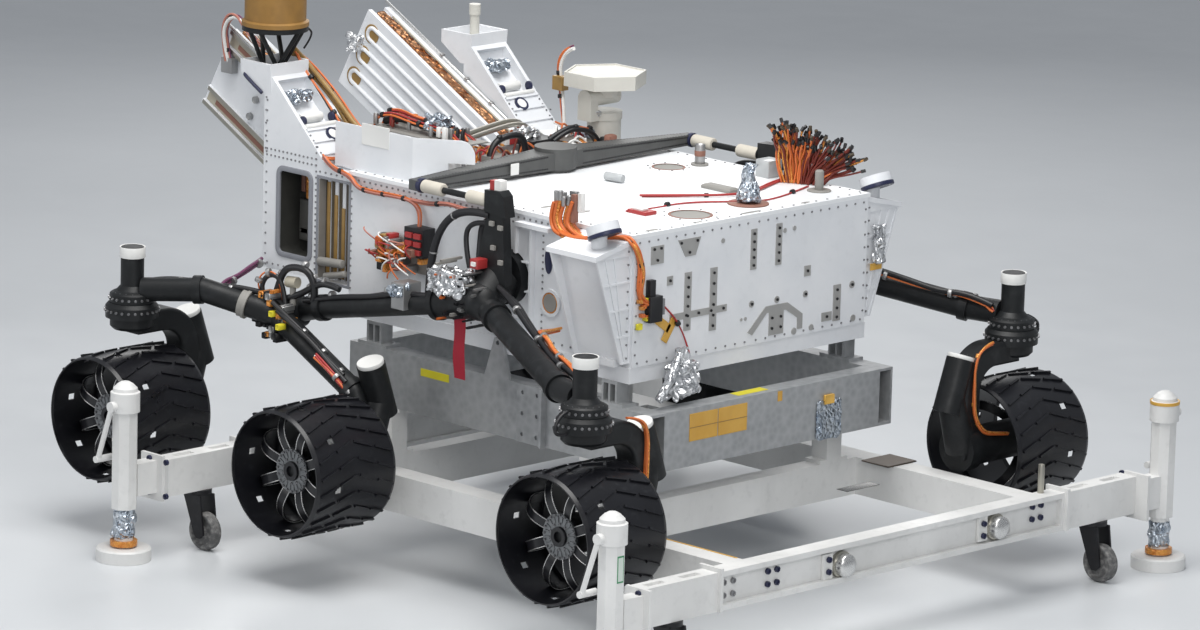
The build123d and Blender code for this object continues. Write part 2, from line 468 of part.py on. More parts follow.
def top_deck():
    """Deck plate with two round ports, one of them ringed by the mast's bolt circle."""
    deck = block(BODY_REAR, BODY_FRONT + PANEL_THICK, -HALF_BODY - DECK_LIP, HALF_BODY + DECK_LIP, BODY_TOP, DECK_TOP)
    for x, y, radius in ((MAST_SEAT_X, MAST_SEAT_Y, PORT_RADIUS), (SMALL_PORT_X, SMALL_PORT_Y, SMALL_PORT_RADIUS)):
        deck = deck - rod((x, y, DECK_TOP - PORT_DEPTH), (x, y, DECK_TOP + 1), radius)
    for index in range(MAST_SEAT_COUNT):
        turn = 2 * pi / MAST_SEAT_COUNT * (index + 0.5)
        x, y = MAST_SEAT_X + MAST_SEAT_CIRCLE * cos(turn), MAST_SEAT_Y + MAST_SEAT_CIRCLE * sin(turn)
        deck = deck - rod((x, y, BODY_TOP), (x, y, DECK_TOP + 1), MAST_SEAT_HOLE)
    return deck


def front_panel():
    return block(BODY_FRONT, BODY_FRONT + PANEL_THICK, -HALF_BODY, HALF_BODY, BODY_BOTTOM, BODY_TOP)


# Bare machined pads on the front panel: middle Y, middle Z, width, height
PAD_STRIPS = [(-342, 1155, 36, 220), (-206, 1146, 36, 238), (4, 1306, 32, 154), (139, 1308, 32, 158),
              (467, 1040, 40, 139), (-508, 1352, 66, 68), (-438, 1246, 30, 34), (300, 1185, 34, 40),
              (413, 994, 54, 34)]
# Round pads: Y, Z, radius
PAD_DOTS = [(1, 1098, 13), (138, 1097, 13), (293, 1097, 13), (549, 1099, 14), (-30, 1046, 7), (-52, 1046, 6),
            (236, 962, 13), (330, 964, 12), (-162, 1360, 9), (170, 1356, 9), (222, 1358, 9), (560, 968, 13)]


def front_pads():
    """Thin raised pads of bare metal where arms and tools are bolted."""
    face, front = BODY_FRONT + PANEL_THICK, BODY_FRONT + PANEL_THICK + PAD_THICK
    pads = [block(face, front, y - wide / 2, y + wide / 2, z - high / 2, z + high / 2)
            for y, z, wide, high in PAD_STRIPS]
    pads[0] = pads[0] + pads[1] + block(face, front, -435, -133, 1091, 1117)
    pads[1] = end_view([(-400, 1392), (-281, 1392), (-307, 1326), (-360, 1326)], face, front)
    arch = [(-17, 992), (60, 1062), (78, 1078), (196, 1078), (280, 1024), (280, 968), (252, 968), (252, 1012),
            (188, 1052), (176, 1052), (176, 964), (98, 964), (98, 1052), (84, 1052), (8, 978)]
    pads.append(end_view(arch, face, front))
    pads.extend(rod((face, y, z), (front, y, z), radius) for y, z, radius in PAD_DOTS)
    return pads


def side_column():
    """Channel column with two ledges and a dark cap, one on each side of the body."""
    low, high = BODY_BOTTOM + 30, BODY_TOP - 40
    half = COLUMN_WIDTH / 2
    skin = -HALF_BODY
    column = block(COLUMN_X - half, COLUMN_X + half, skin, skin - COLUMN_OUT, low, high)
    column = column - block(COLUMN_X - half + 10, COLUMN_X + half - 10, skin - 8, skin - COLUMN_OUT - 1, low - 1,
                            high - 12)
    for z in (low + 60, low + 165, low + 275):
        column = column + block(COLUMN_X - half, COLUMN_X + half, skin, skin - COLUMN_OUT, z, z + 6)
    x = COLUMN_CAP_X
    cap = block(x - COLUMN_CAP_LONG / 2, x + COLUMN_CAP_LONG / 2, skin, skin - COLUMN_OUT - 18, high,
                high + COLUMN_CAP_THICK)
    pivot_room = rod((PIVOT_X, skin + 1, PIVOT_Z), (PIVOT_X, skin - 2 * COLUMN_OUT, PIVOT_Z), PIVOT_DISC_RADIUS + 4)
    return column + cap - pivot_room


def bracket_edge(z):
    """Outboard reach of a bracket's gusset at one height, from the body's side."""
    top = BODY_TOP - BRACKET_CAP_DROP
    share = (z - BRACKET_LOW_Z) / (top - BRACKET_LOW_Z)
    return HALF_BODY + BRACKET_LOW_OUT + share * (BRACKET_TOP_OUT - BRACKET_LOW_OUT)


def gusset_pockets():
    """Grid of shallow pockets in the front gusset, two columns that narrow with it."""
    top = BODY_TOP - BRACKET_CAP_DROP - 12
    step = (top - BRACKET_LOW_Z - POCKET_RIB) / POCKET_ROWS
    cells = []
    for row in range(POCKET_ROWS):
        low, high = BRACKET_LOW_Z + POCKET_RIB + row * step, BRACKET_LOW_Z + (row + 1) * step
        for column in (0, 1):
            corners = []
            for z, near_first in ((low, True), (high, False)):
                near, far = HALF_BODY + POCKET_EDGE, bracket_edge(z) - POCKET_EDGE
                middle = (near + far) / 2
                span = (near, middle - POCKET_RIB / 2) if column == 0 else (middle + POCKET_RIB / 2, far)
                span = span if near_first else span[::-1]
                corners += [(-span[0], z), (-span[1], z)]
            cells.append(end_view(corners, BODY_FRONT - POCKET_DEPTH, BODY_FRONT + 1))
    return cells


def corner_bracket():
    """Open wedge on the body's front corner: two gussets, a slanted web and a sloping cap."""
    skin, top_z = -HALF_BODY, BODY_TOP - BRACKET_CAP_DROP
    outline = [(skin, BODY_TOP - 6), (-bracket_edge(top_z), top_z), (-bracket_edge(BRACKET_LOW_Z), BRACKET_LOW_Z),
               (skin, BRACKET_LOW_Z)]
    front = end_view(outline, BODY_FRONT - BRACKET_PLATE, BODY_FRONT)
    for cell in gusset_pockets():
        front = front - cell
    rear = end_view(outline, BRACKET_REAR, BRACKET_REAR + BRACKET_PLATE)
    web_top, web_low = -bracket_edge(top_z) + BRACKET_WEB_IN, -bracket_edge(BRACKET_LOW_Z) + BRACKET_WEB_IN / 2
    web = end_view([(web_top, top_z + 4), (web_top + BRACKET_PLATE, top_z + 8),
                    (web_low + BRACKET_PLATE, BRACKET_LOW_Z),
                    (web_low, BRACKET_LOW_Z)], BRACKET_REAR, BODY_FRONT)
    foot = block(BODY_FRONT - 116, BODY_FRONT - 40, skin, skin - 44, BODY_BOTTOM, BRACKET_LOW_Z + 10)
    cap_edge = -bracket_edge(top_z) - 6
    cap = end_view([(skin, BODY_TOP - BRACKET_CAP_THICK), (skin, BODY_TOP), (cap_edge, BODY_TOP - BRACKET_CAP_DROP),
                    (cap_edge, BODY_TOP - BRACKET_CAP_DROP - BRACKET_CAP_THICK)], BRACKET_REAR - 6, BODY_FRONT + 6)
    return front + rear + web + foot + cap


def bracket_pod():
    """Short round pod that leans forward on the sloping cap, its open end to the front and down."""
    run = bracket_edge(BODY_TOP - BRACKET_CAP_DROP) + 6 - HALF_BODY
    along = 0.54 * run
    y, seat_z = -HALF_BODY - along, BODY_TOP - along * BRACKET_CAP_DROP / run
    tilt = radians(POD_TILT)
    mouth = Vector(POD_X, y, seat_z + POD_LIFT)
    crown = mouth + Vector(-sin(tilt), 0, cos(tilt)) * POD_LONG
    foot = rod((POD_X - POD_FOOT, y, seat_z - BRACKET_CAP_THICK / 2), (POD_X - POD_FOOT, y, crown.Z - POD_LONG / 4),
               POD_FOOT)
    return rod(tuple(mouth), tuple(crown), POD_RADIUS) + foot - corner_bracket()


# Rear of the body

def tower():
    """Rear tower on the right, with a window, a slatted bay, a slanted face and a flared box on top."""
    skin, inner = -HALF_BODY, -HALF_BODY + TOWER_WIDTH
    shoulder = TOWER_TOP - BOX_WELL - 12
    outline = [(TOWER_REAR, TOWER_BOTTOM), (TOWER_FRONT, TOWER_BOTTOM), (TOWER_FRONT, BODY_TOP),
               (TOWER_FRONT - 140, BODY_TOP + 12), (BOX_FRONT, shoulder), (TOWER_REAR, shoulder)]
    solid = side_view(outline, skin, inner)
    solid = solid - rounded_window(WINDOW_REAR, WINDOW_FRONT, skin + WINDOW_DEEP, skin - 1, WINDOW_LOW, WINDOW_HIGH,
                                   WINDOW_CORNER)
    solid = solid - rounded_window(BAY_REAR, BAY_FRONT, skin + BAY_DEEP, skin - 1, BAY_LOW, BAY_HIGH, 8)
    step = (BAY_FRONT - BAY_REAR) / BAY_SLATS
    for index in range(BAY_SLATS):
        x = BAY_REAR + step * (index + 0.5)
        solid = solid + block(x - SLAT_WIDTH / 2, x + SLAT_WIDTH / 2, skin + BAY_DEEP, skin + BAY_DEEP - SLAT_OUT,
                              BAY_LOW, BAY_HIGH - 8)
    foot, head = Vector(TOWER_FRONT - 140, BODY_TOP + 12), Vector(BOX_FRONT, shoulder)
    out = Vector(head.Y - foot.Y, foot.X - head.X).normalized()

    def on_slope(share, lift):
        point = foot + (head - foot) * share + out * lift
        return (point.X, point.Y)
    first, last = TOWER_POCKET
    pocket = [on_slope(first, 2), on_slope(last, 2), on_slope(last, -TOWER_POCKET_DEEP),
              on_slope(first, -TOWER_POCKET_DEEP)]
    solid = solid - side_view(pocket, skin + TOWER_POCKET_EDGE, inner - TOWER_POCKET_EDGE)
    thick = TOWER_RIB_THICK / (head - foot).length
    for share in TOWER_RIBS:
        rib = [on_slope(share, -1), on_slope(share + thick, -1), on_slope(share + thick, TOWER_RIB_OUT),
               on_slope(share, TOWER_RIB_OUT)]
        solid = solid + side_view(rib, skin + TOWER_RIB_THICK, inner - TOWER_RIB_THICK)
    return solid + tower_box()


def tower_box():
    """Open box on top of the tower, flared towards its rim."""
    skin, inner = -HALF_BODY, -HALF_BODY + TOWER_WIDTH
    low = TOWER_TOP - BOX_DEPTH
    outer = end_view([(skin, low), (inner, low), (inner, TOWER_TOP), (skin - BOX_FLARE, TOWER_TOP)], BOX_REAR,
                     BOX_FRONT)
    cut = side_view([(BOX_REAR - 1, low - 1), (TOWER_REAR - 20, low - 1), (BOX_REAR - 1, TOWER_TOP - BOX_WELL - 14)],
                    skin - BOX_FLARE - 1, inner + 1)
    well = block(BOX_REAR + BOX_SKIN, BOX_FRONT - BOX_SKIN, skin + BOX_SKIN - BOX_FLARE + 4, inner - BOX_SKIN,
                 TOWER_TOP - BOX_WELL, TOWER_TOP + 1)
    return outer - cut - well


def hairpin(offset, y, along):
    """One tube loop along the exchanger's inner face, drawn flat in the panel's own frame."""
    start, end = 70, EXCHANGER_LONG - along
    runs = []
    for side in (-1, 1):
        z = -offset + side * HAIRPIN_HALF
        runs.append(rod((start, y, z), (end, y, z), HAIRPIN_GAUGE))
    bend = Pos(start, y, -offset) * Rot(90, 0, 0) * Torus(HAIRPIN_HALF, HAIRPIN_GAUGE)
    half = Box(2 * EXCHANGER_HIGH, 4 * HAIRPIN_GAUGE, 4 * HAIRPIN_HALF)
    bend = bend - Pos(start + EXCHANGER_HIGH, y, -offset) * half
    return runs[0] + runs[1] + bend


def exchanger():
    """Tilted twin-plate panel with rails outside and tube loops on its inner face, drawn for the right side."""
    half, inset = EXCHANGER_THICK / 2, EXCHANGER_INSET
    panel = block(inset, EXCHANGER_LONG - inset, 1 - half, half - 1, -EXCHANGER_HIGH + inset, -inset)
    for near, far in ((-half, EXCHANGER_PLATE - half), (half - EXCHANGER_PLATE, half)):
        panel = panel + block(0, EXCHANGER_LONG, near, far, -EXCHANGER_HIGH, 0)
    pitch = EXCHANGER_RAIL_PITCH
    for z in (-EXCHANGER_RAIL, -EXCHANGER_RAIL - pitch, -EXCHANGER_HIGH + pitch, -EXCHANGER_HIGH):
        panel = panel + block(0, EXCHANGER_LONG, -half - EXCHANGER_RAIL_OUT, 1 - half, z, z + EXCHANGER_RAIL)
    pitch_start = (EXCHANGER_HIGH - HAIRPIN_PITCH * (HAIRPIN_COUNT - 1)) / 2
    for index in range(HAIRPIN_COUNT):
        panel = panel + hairpin(pitch_start + HAIRPIN_PITCH * index, EXCHANGER_THICK / 2, 30 + 45 * index)
    solid = Pos(EXCHANGER_REAR_X, -EXCHANGER_Y, EXCHANGER_TOP) * Rot(0, EXCHANGER_TILT, 0) * panel
    for x in (TOWER_REAR + 60, TOWER_REAR + 190):
        solid = solid + rod((x, -EXCHANGER_Y, 1290), (x, -HALF_BODY + TOWER_WIDTH, 1290), STANDOFF_RADIUS)
    return solid


def bay_wall():
    """Rear bulkhead between the towers, with the power unit's four bolt holes."""
    inner, face = HALF_BODY - TOWER_WIDTH, BODY_REAR - BAY_WALL_THICK
    wall = block(face, BODY_REAR, -inner, inner, TOWER_BOTTOM, BODY_TOP)
    for index in range(REAR_SEAT_COUNT):
        turn = 2 * pi / REAR_SEAT_COUNT * (index + 0.5)
        y, z = REAR_SEAT_CIRCLE * cos(turn), REAR_SEAT_Z + REAR_SEAT_CIRCLE * sin(turn)
        wall = wall - rod((face - 1, y, z), (face + REAR_SEAT_DEEP, y, z), REAR_SEAT_HOLE)
    return wall


# Deck equipment

def deck_cover():
    """Bent sheet cover along the deck's right edge, with a rounded end and a foot flange."""
    top = DECK_TOP + COVER_HIGH
    straight = block(COVER_REAR, COVER_FRONT, -COVER_OUT, -COVER_OUT + COVER_SKIN, DECK_TOP, top)
    foot = block(COVER_REAR, COVER_FRONT, -COVER_OUT, -COVER_OUT + COVER_FOOT, DECK_TOP, DECK_TOP + COVER_SKIN)
    long, high, round_over = COVER_TURN_LONG, COVER_HIGH, COVER_ROUND
    corner = sin(radians(45)) * round_over
    lines = [Line((0, 0), (long, 0)), Line((long, 0), (long, high - round_over)),
             ThreePointArc((long, high - round_over), (long - round_over + corner, high - round_over + corner),
                           (long - round_over, high)),
             Line((long - round_over, high), (0, high)), Line((0, high), (0, 0))]
    turn = radians(COVER_TURN)
    plane = Plane(origin=(COVER_FRONT, -COVER_OUT, DECK_TOP), x_dir=(cos(turn), sin(turn), 0),
                  z_dir=(sin(turn), -cos(turn), 0))
    wing = extrude(plane * make_face(lines), -COVER_SKIN)
    rear = block(COVER_REAR, COVER_REAR + COVER_SKIN, -COVER_OUT, -COVER_OUT + 180, DECK_TOP, top - 40)
    middle, gap = (BAR_MIDDLE_WIDE + BAR_END_WIDE) / 4, 8
    bar_room = block(BAR_X - middle - gap, BAR_X + middle + 4 * gap, -COVER_OUT - 1, 0, DECK_TOP - 1,
                     BAR_BOTTOM + BAR_MIDDLE_HIGH)
    return straight + foot + wing + rear - bar_room


def differential_bar():
    """Tapered, arched bar across the deck on its central boss."""
    half, low = BAR_HALF, BAR_BOTTOM
    arch = end_view([(-half, low), (half, low), (half, low + BAR_END_HIGH), (0, low + BAR_MIDDLE_HIGH),
                     (-half, low + BAR_END_HIGH)], BAR_X - BAR_MIDDLE_WIDE, BAR_X + BAR_MIDDLE_WIDE)
    middle, end = BAR_MIDDLE_WIDE / 2, BAR_END_WIDE / 2
    plan = plan_view([(BAR_X - end, -half), (BAR_X + end, -half), (BAR_X + middle, 0), (BAR_X + end, half),
                      (BAR_X - end, half), (BAR_X - middle, 0)], low - 1, low + BAR_MIDDLE_HIGH + 1)
    top = low + BAR_MIDDLE_HIGH
    boss = rod((BAR_X, 0, low), (BAR_X, 0, top + BAR_BOSS_HIGH), BAR_BOSS_RADIUS)
    post = rod((BAR_X, 0, DECK_TOP), (BAR_X, 0, low + 1), BAR_BOSS_RADIUS - 12)
    solid = (arch & plan) + boss + post
    for side in (-1, 1):
        solid = solid + block(BAR_X - BAR_EYE, BAR_X + BAR_EYE, side * (half - BAR_END_WIDE), side * half,
                              low, low + BAR_END_HIGH)
    return solid


def differential_link():
    """Link from the bar's end forward to the upright's head, with a thicker sleeve at each end."""
    y, z = -BAR_HALF + BAR_END_WIDE / 2, BAR_BOTTOM + BAR_END_HIGH / 2
    start, end = BAR_X + BAR_EYE + LINK_SEAT, UPRIGHT_X - 50 - LINK_SEAT
    link = rod((start, y, z), (end, y, z), LINK_RADIUS)
    link = link + rod((start, y, z), (start + LINK_SLEEVE_LONG, y, z), LINK_SLEEVE_RADIUS - 6, LINK_SLEEVE_RADIUS - 2)
    return link + rod((end - LINK_SLEEVE_LONG, y, z), (end, y, z), LINK_SLEEVE_RADIUS - 4, LINK_SLEEVE_RADIUS)


def antenna_truss():
    """Three pairs of struts from pads in the tower's box up to a ring."""
    floor = TOWER_TOP - BOX_WELL
    ring = rod((TRUSS_X, TRUSS_Y, TRUSS_TOP - TRUSS_RING_THICK), (TRUSS_X, TRUSS_Y, TRUSS_TOP), TRUSS_RING_OUT)
    solid = ring - rod((TRUSS_X, TRUSS_Y, TRUSS_TOP - 2 * TRUSS_RING_THICK), (TRUSS_X, TRUSS_Y, TRUSS_TOP + 1),
                       TRUSS_RING_IN)
    for leg in range(3):
        foot_turn = radians(120 * leg + 90)
        foot = (TRUSS_X + TRUSS_FOOT_CIRCLE * cos(foot_turn), TRUSS_Y + TRUSS_FOOT_CIRCLE * sin(foot_turn),
                floor + TRUSS_PAD)
        solid = solid + rod((foot[0], foot[1], floor), foot, 2 * TRUSS_ROD - 2)
        for lean in (-45, 45):
            turn = foot_turn + radians(lean)
            head = (TRUSS_X + TRUSS_HEAD_CIRCLE * cos(turn), TRUSS_Y + TRUSS_HEAD_CIRCLE * sin(turn),
                    TRUSS_TOP - TRUSS_RING_THICK / 2)
            solid = solid + rod((foot[0], foot[1], foot[2] - 2), head, TRUSS_ROD)
    return solid


def antenna_can():
    top = TRUSS_TOP + CAN_ANTENNA_HIGH
    return turned([(0, TRUSS_TOP), (CAN_ANTENNA_RADIUS + 3, TRUSS_TOP), (CAN_ANTENNA_RADIUS + 3, TRUSS_TOP + 16),
                   (CAN_ANTENNA_RADIUS - 8, TRUSS_TOP + 22), (CAN_ANTENNA_RADIUS - 8, top - 12),
                   (CAN_ANTENNA_RADIUS - 18, top), (0, top)], TRUSS_X, TRUSS_Y)


def post_antenna():
    """Short white post with a flange and a ringed tip, on the left tower's box."""
    x, y, base = TRUSS_X, -TRUSS_Y, TOWER_TOP - BOX_WELL
    tip = base + POST_HIGH
    return turned([(0, base), (POST_FLANGE_RADIUS, base), (POST_FLANGE_RADIUS, base + 8), (POST_RADIUS, base + 12),
                   (POST_RADIUS, tip), (POST_RING_RADIUS, tip), (POST_RING_RADIUS, tip + POST_RING_HIGH),
                   (0, tip + POST_RING_HIGH)], x, y)


def hga_base():
    top = HGA_AZ_Z - STEER_GAP
    profile = [(0, DECK_TOP), (HGA_DRUM_RADIUS + 14, DECK_TOP), (HGA_DRUM_RADIUS + 14, DECK_TOP + 12),
               (HGA_DRUM_RADIUS, DECK_TOP + 18), (HGA_DRUM_RADIUS, top), (HGA_SPINDLE, top),
               (HGA_SPINDLE, HGA_AZ_Z + 20),
               (0, HGA_AZ_Z + 20)]
    return turned(profile, HGA_X, HGA_Y)


def hga_yoke():
    """Turntable with one arm that carries the elevation pin."""
    base, half = HGA_AZ_Z, HGA_EYE_RADIUS
    column = rod((HGA_X, HGA_Y, base), (HGA_X, HGA_Y, base + HGA_COLUMN_HIGH), HGA_COLUMN_RADIUS)
    far, near = HGA_Y - HGA_ARM_OUT, HGA_Y - HGA_ARM_OUT + HGA_ARM_THICK
    shelf = block(HGA_X - half, HGA_X + half, far, HGA_Y, base, base + HGA_COLUMN_HIGH)
    arm = block(HGA_X - half, HGA_X + half, far, near, base, HGA_EL_Z)
    eye = rod((HGA_X, far, HGA_EL_Z), (HGA_X, near, HGA_EL_Z), half)
    spindle_bore = rod((HGA_X, HGA_Y, base - 1), (HGA_X, HGA_Y, base + 22), HGA_SPINDLE + RUNNING_GAP)
    pin_bore = rod((HGA_X, far - 1, HGA_EL_Z), (HGA_X, near + 1, HGA_EL_Z), HGA_PIN + RUNNING_GAP)
    return column + shelf + arm + eye - spindle_bore - pin_bore


def hga_plate():
    """Six-sided antenna dish, shallow and rimmed, on its elevation pin."""
    near = HGA_Y - HGA_ARM_OUT + HGA_ARM_THICK + STEER_GAP
    low, top = HGA_EL_Z + HGA_PLATE_LIFT, HGA_EL_Z + HGA_PLATE_LIFT + HGA_PLATE_THICK
    hub = rod((HGA_X, near, HGA_EL_Z), (HGA_X, HGA_Y + 60, HGA_EL_Z), 32)
    axle = rod((HGA_X, HGA_Y - HGA_ARM_OUT, HGA_EL_Z), (HGA_X, near, HGA_EL_Z), HGA_PIN)
    neck = rod((HGA_X, HGA_Y, HGA_EL_Z), (HGA_X, HGA_Y, low), 45, 60)

    def hexagon(radius):
        return [(HGA_X + radius * cos(radians(60 * k)), HGA_Y + radius * sin(radians(60 * k))) for k in range(6)]
    plate = plan_view(hexagon(HGA_PLATE_RADIUS), low, top)
    recess = plan_view(hexagon(HGA_PLATE_RADIUS - HGA_RIM), top - 4, top + 1)
    return hub + axle + neck + (plate - recess)


# Stand

def beam_box(x0, x1, y0, y1, z0, z1, ends):
    """A rolled hollow section, open at the ends across the given axis."""
    solid = block(x0, x1, y0, y1, z0, z1)
    wall = CRADLE_SKIN
    if ends == "x":
        return solid - block(x0 - 1, x1 + 1, y0 + wall, y1 - wall, z0 + wall, z1 - wall)
    return solid - block(x0 + wall, x1 - wall, y0 - 1, y1 + 1, z0 + wall, z1 - wall)


def cradle():
    """Upper frame: two side beams and two bolted end beams of hollow section."""
    inner, outer = CRADLE_Y - CRADLE_WIDTH / 2, CRADLE_Y + CRADLE_WIDTH / 2
    solid = None
    for side in (-1, 1):
        y0, y1 = sorted((side * inner, side * outer))
        rail = beam_box(CRADLE_REAR, CRADLE_FRONT, y0, y1, CRADLE_BOTTOM, CRADLE_TOP, "x")
        solid = rail if solid is None else solid + rail
    for x0, x1 in ((CRADLE_REAR, CRADLE_REAR + CRADLE_WIDTH), (CRADLE_FRONT - CRADLE_WIDTH, CRADLE_FRONT)):
        solid = solid + beam_box(x0, x1, -inner, inner, CRADLE_BOTTOM, CRADLE_TOP, "y")
    return solid


def cradle_brackets():
    """Posts from the frame up to the body, each on a bolted foot plate."""
    pieces = []
    for x in POST_X:
        for side in (-1, 1):
            y0, y1 = side * (CRADLE_Y - 30), side * (CRADLE_Y + 30)
            post = block(x - 40, x + 40, y0, y1, CRADLE_TOP, BODY_BOTTOM - LOWER_RAIL_HIGH)
            post = post - block(x - 30, x + 30, y0 - side, y1 + side, CRADLE_TOP + 14,
                                BODY_BOTTOM - LOWER_RAIL_HIGH - 12)
            foot = block(x - 78, x + 78, side * (CRADLE_Y - 38), side * (CRADLE_Y + 38), CRADLE_TOP, CRADLE_TOP + 12)
            web = block(x - 5, x + 5, y0, y1, CRADLE_TOP + 2, BODY_BOTTOM - LOWER_RAIL_HIGH)
            pieces.append(post + foot + web)
    for side in (-1, 1):
        pieces.append(cradle_joint(side))
        pieces.append(lifting_lug(side))
    return pieces


def cradle_joint(side):
    """Bolted splice on the outside of the cradle's side beam: a drilled plate and an upright flange."""
    face = side * (CRADLE_Y + CRADLE_WIDTH / 2)
    plate = block(JOINT_X - JOINT_HALF, JOINT_X + JOINT_HALF, face, face + side * JOINT_PLATE, CRADLE_BOTTOM,
                  CRADLE_TOP)
    for z in JOINT_HOLE_ROWS:
        for x in (JOINT_X - JOINT_HOLE_X, JOINT_X + JOINT_HOLE_X):
            plate = plate - rod((x, face, z), (x, face + side * (JOINT_PLATE + 1), z), JOINT_HOLE)
    return plate + block(JOINT_X + JOINT_HALF, JOINT_X + JOINT_HALF + JOINT_FLANGE, face,
                         face + side * JOINT_FLANGE_OUT,
                         CRADLE_BOTTOM, CRADLE_TOP)


def lifting_lug(side):
    """Triangular eye plate on top of the side beam, with a gusset square to it."""
    top, y = CRADLE_TOP + LUG_HIGH, side * (CRADLE_Y + CRADLE_WIDTH / 2 - LUG_PLATE)
    outline = [(LUG_X - LUG_BASE, CRADLE_TOP), (LUG_X + LUG_BASE, CRADLE_TOP), (LUG_X + LUG_TIP, top),
               (LUG_X - LUG_TIP, top)]
    plate = side_view(outline, y, y + side * LUG_PLATE)
    plate = plate - rod((LUG_X, y - side, top - 2 * LUG_EYE), (LUG_X, y + side * (LUG_PLATE + 1), top - 2 * LUG_EYE),
                        LUG_EYE)
    gusset = end_view([(y, CRADLE_TOP), (y - side * LUG_GUSSET, CRADLE_TOP), (y, CRADLE_TOP + LUG_HIGH / 2)],
                      LUG_X + LUG_TIP / 2,
                      LUG_X + LUG_TIP / 2 + LUG_PLATE / 2)
    return plate + gusset


def cross_beam(x):
    """One end beam of the trolley: a channel in the middle and boxed outriggers with slots."""
    half = TROLLEY_BEAM / 2
    beam = block(x - half, x + half, -BEAM_END_Y, BEAM_END_Y, TROLLEY_BOTTOM, TROLLEY_TOP)
    low, high = TROLLEY_BOTTOM + CHANNEL_FLANGE, TROLLEY_TOP - CHANNEL_FLANGE
    for near, far in ((x - half - 1, x - half + CHANNEL_DEPTH), (x + half - CHANNEL_DEPTH, x + half + 1)):
        beam = beam - block(near, far, -CHANNEL_END_Y + END_PLATE, CHANNEL_END_Y - END_PLATE, low, high)
    for side in (-1, 1):
        plate_y = side * CHANNEL_END_Y
        beam = beam + block(x - half - END_PLATE_EXTRA, x + half + END_PLATE_EXTRA, plate_y,
                            plate_y + side * END_PLATE,
                            TROLLEY_BOTTOM, TROLLEY_TOP + END_PLATE_EXTRA)
        for y in (plate_y + side * 120, plate_y + side * 300):
            beam = beam - block(x - SLOT_WIDE / 2, x + SLOT_WIDE / 2, y - SLOT_LONG / 2, y + SLOT_LONG / 2,
                                TROLLEY_TOP - SLOT_DEEP, TROLLEY_TOP + 1)
        stud = rod((x, side * CASTER_Y, TROLLEY_BOTTOM - 1),
                   (x, side * CASTER_Y, TROLLEY_BOTTOM + CASTER_STUD_LONG + 1),
                   CASTER_STUD + RUNNING_GAP)
        beam = beam - stud
    return beam


def trolley():
    """Lower frame: two end beams, two side rails and two inner members."""
    solid = cross_beam(FRONT_BEAM_X) + cross_beam(REAR_BEAM_X)
    for side in (-1, 1):
        y0, y1 = side * (RAIL_Y - RAIL_WIDTH / 2), side * (RAIL_Y + RAIL_WIDTH / 2)
        solid = solid + block(REAR_BEAM_X, FRONT_BEAM_X, y0, y1, TROLLEY_BOTTOM, TROLLEY_TOP)
    half = TROLLEY_BEAM / 2
    for x in CROSS_X:
        solid = solid + block(x - half, x + half, -RAIL_Y, RAIL_Y, TROLLEY_BOTTOM, TROLLEY_TOP)
    return solid


def trolley_posts():
    """Four short posts that carry the cradle on the trolley, each with a bolted foot plate."""
    half, foot = TROLLEY_BEAM / 2, POST_FOOT / 2
    pieces = []
    for x in CROSS_X:
        for side in (-1, 1):
            y = side * CRADLE_Y
            post = block(x - half, x + half, y - half, y + half, TROLLEY_TOP, CRADLE_BOTTOM)
            plate = block(x - half, x + half, y - foot, y + foot, TROLLEY_TOP, TROLLEY_TOP + END_PLATE)
            cap = block(x - foot, x + foot, y - half, y + half, CRADLE_BOTTOM - END_PLATE, CRADLE_BOTTOM)
            pieces.append(post + plate + cap)
    return pieces


def jack(x, side):
    """Screw jack: round foot, inner tube, eight-sided column, stepped head, bolt plate and crank."""
    y = side * JACK_Y
    column = Pos(x, y, JACK_INNER_TOP) * extrude(Rot(0, 0, 22.5) * RegularPolygon(JACK_RADIUS, JACK_FLATS),
                                                 JACK_HEAD_LOW - JACK_INNER_TOP)
    profile = [(0, 0), (JACK_FOOT_RADIUS, 0), (JACK_FOOT_RADIUS, JACK_FOOT_HIGH - 6),
               (JACK_FOOT_RADIUS - 6, JACK_FOOT_HIGH),
               (JACK_INNER_RADIUS, JACK_FOOT_HIGH), (JACK_INNER_RADIUS, JACK_HEAD_LOW),
               (JACK_HEAD_RADIUS, JACK_HEAD_LOW),
               (JACK_HEAD_RADIUS, JACK_HEAD_HIGH), (JACK_RADIUS - 2, JACK_HEAD_HIGH + 4),
               (JACK_RADIUS - 4, JACK_TOP - 24),
               (JACK_RADIUS - 20, JACK_TOP - 8), (JACK_RADIUS - 34, JACK_TOP), (0, JACK_TOP)]
    spine = turned(profile, x, y)
    plate = block(x - 60, x + 60, side * (BEAM_END_Y), side * (BEAM_END_Y + END_PLATE), TROLLEY_BOTTOM - 20,
                  TROLLEY_TOP + 12)
    neck = block(x - 30, x + 30, side * (BEAM_END_Y + END_PLATE), side * (JACK_Y - JACK_RADIUS + 8),
                 TROLLEY_BOTTOM + 10,
                 TROLLEY_TOP - 10)
    hub_y = y + side * (JACK_RADIUS + 26)
    hub = rod((x, y, CRANK_Z), (x, hub_y, CRANK_Z), CRANK_HUB)
    end_x, end_z = x - CRANK_SIDE, CRANK_Z - CRANK_LONG
    arm = rod((x, hub_y - side * 9, CRANK_Z), (end_x, hub_y - side * 9, end_z), CRANK_ARM)
    grip = rod((end_x, hub_y + side * 4, end_z), (end_x, hub_y - side * CRANK_GRIP_LONG, end_z), CRANK_GRIP)
    return column + spine + plate + neck + hub + arm + grip


def jacks():
    return [jack(x, side) for x in (FRONT_JACK_X, REAR_JACK_X) for side in (-1, 1)]


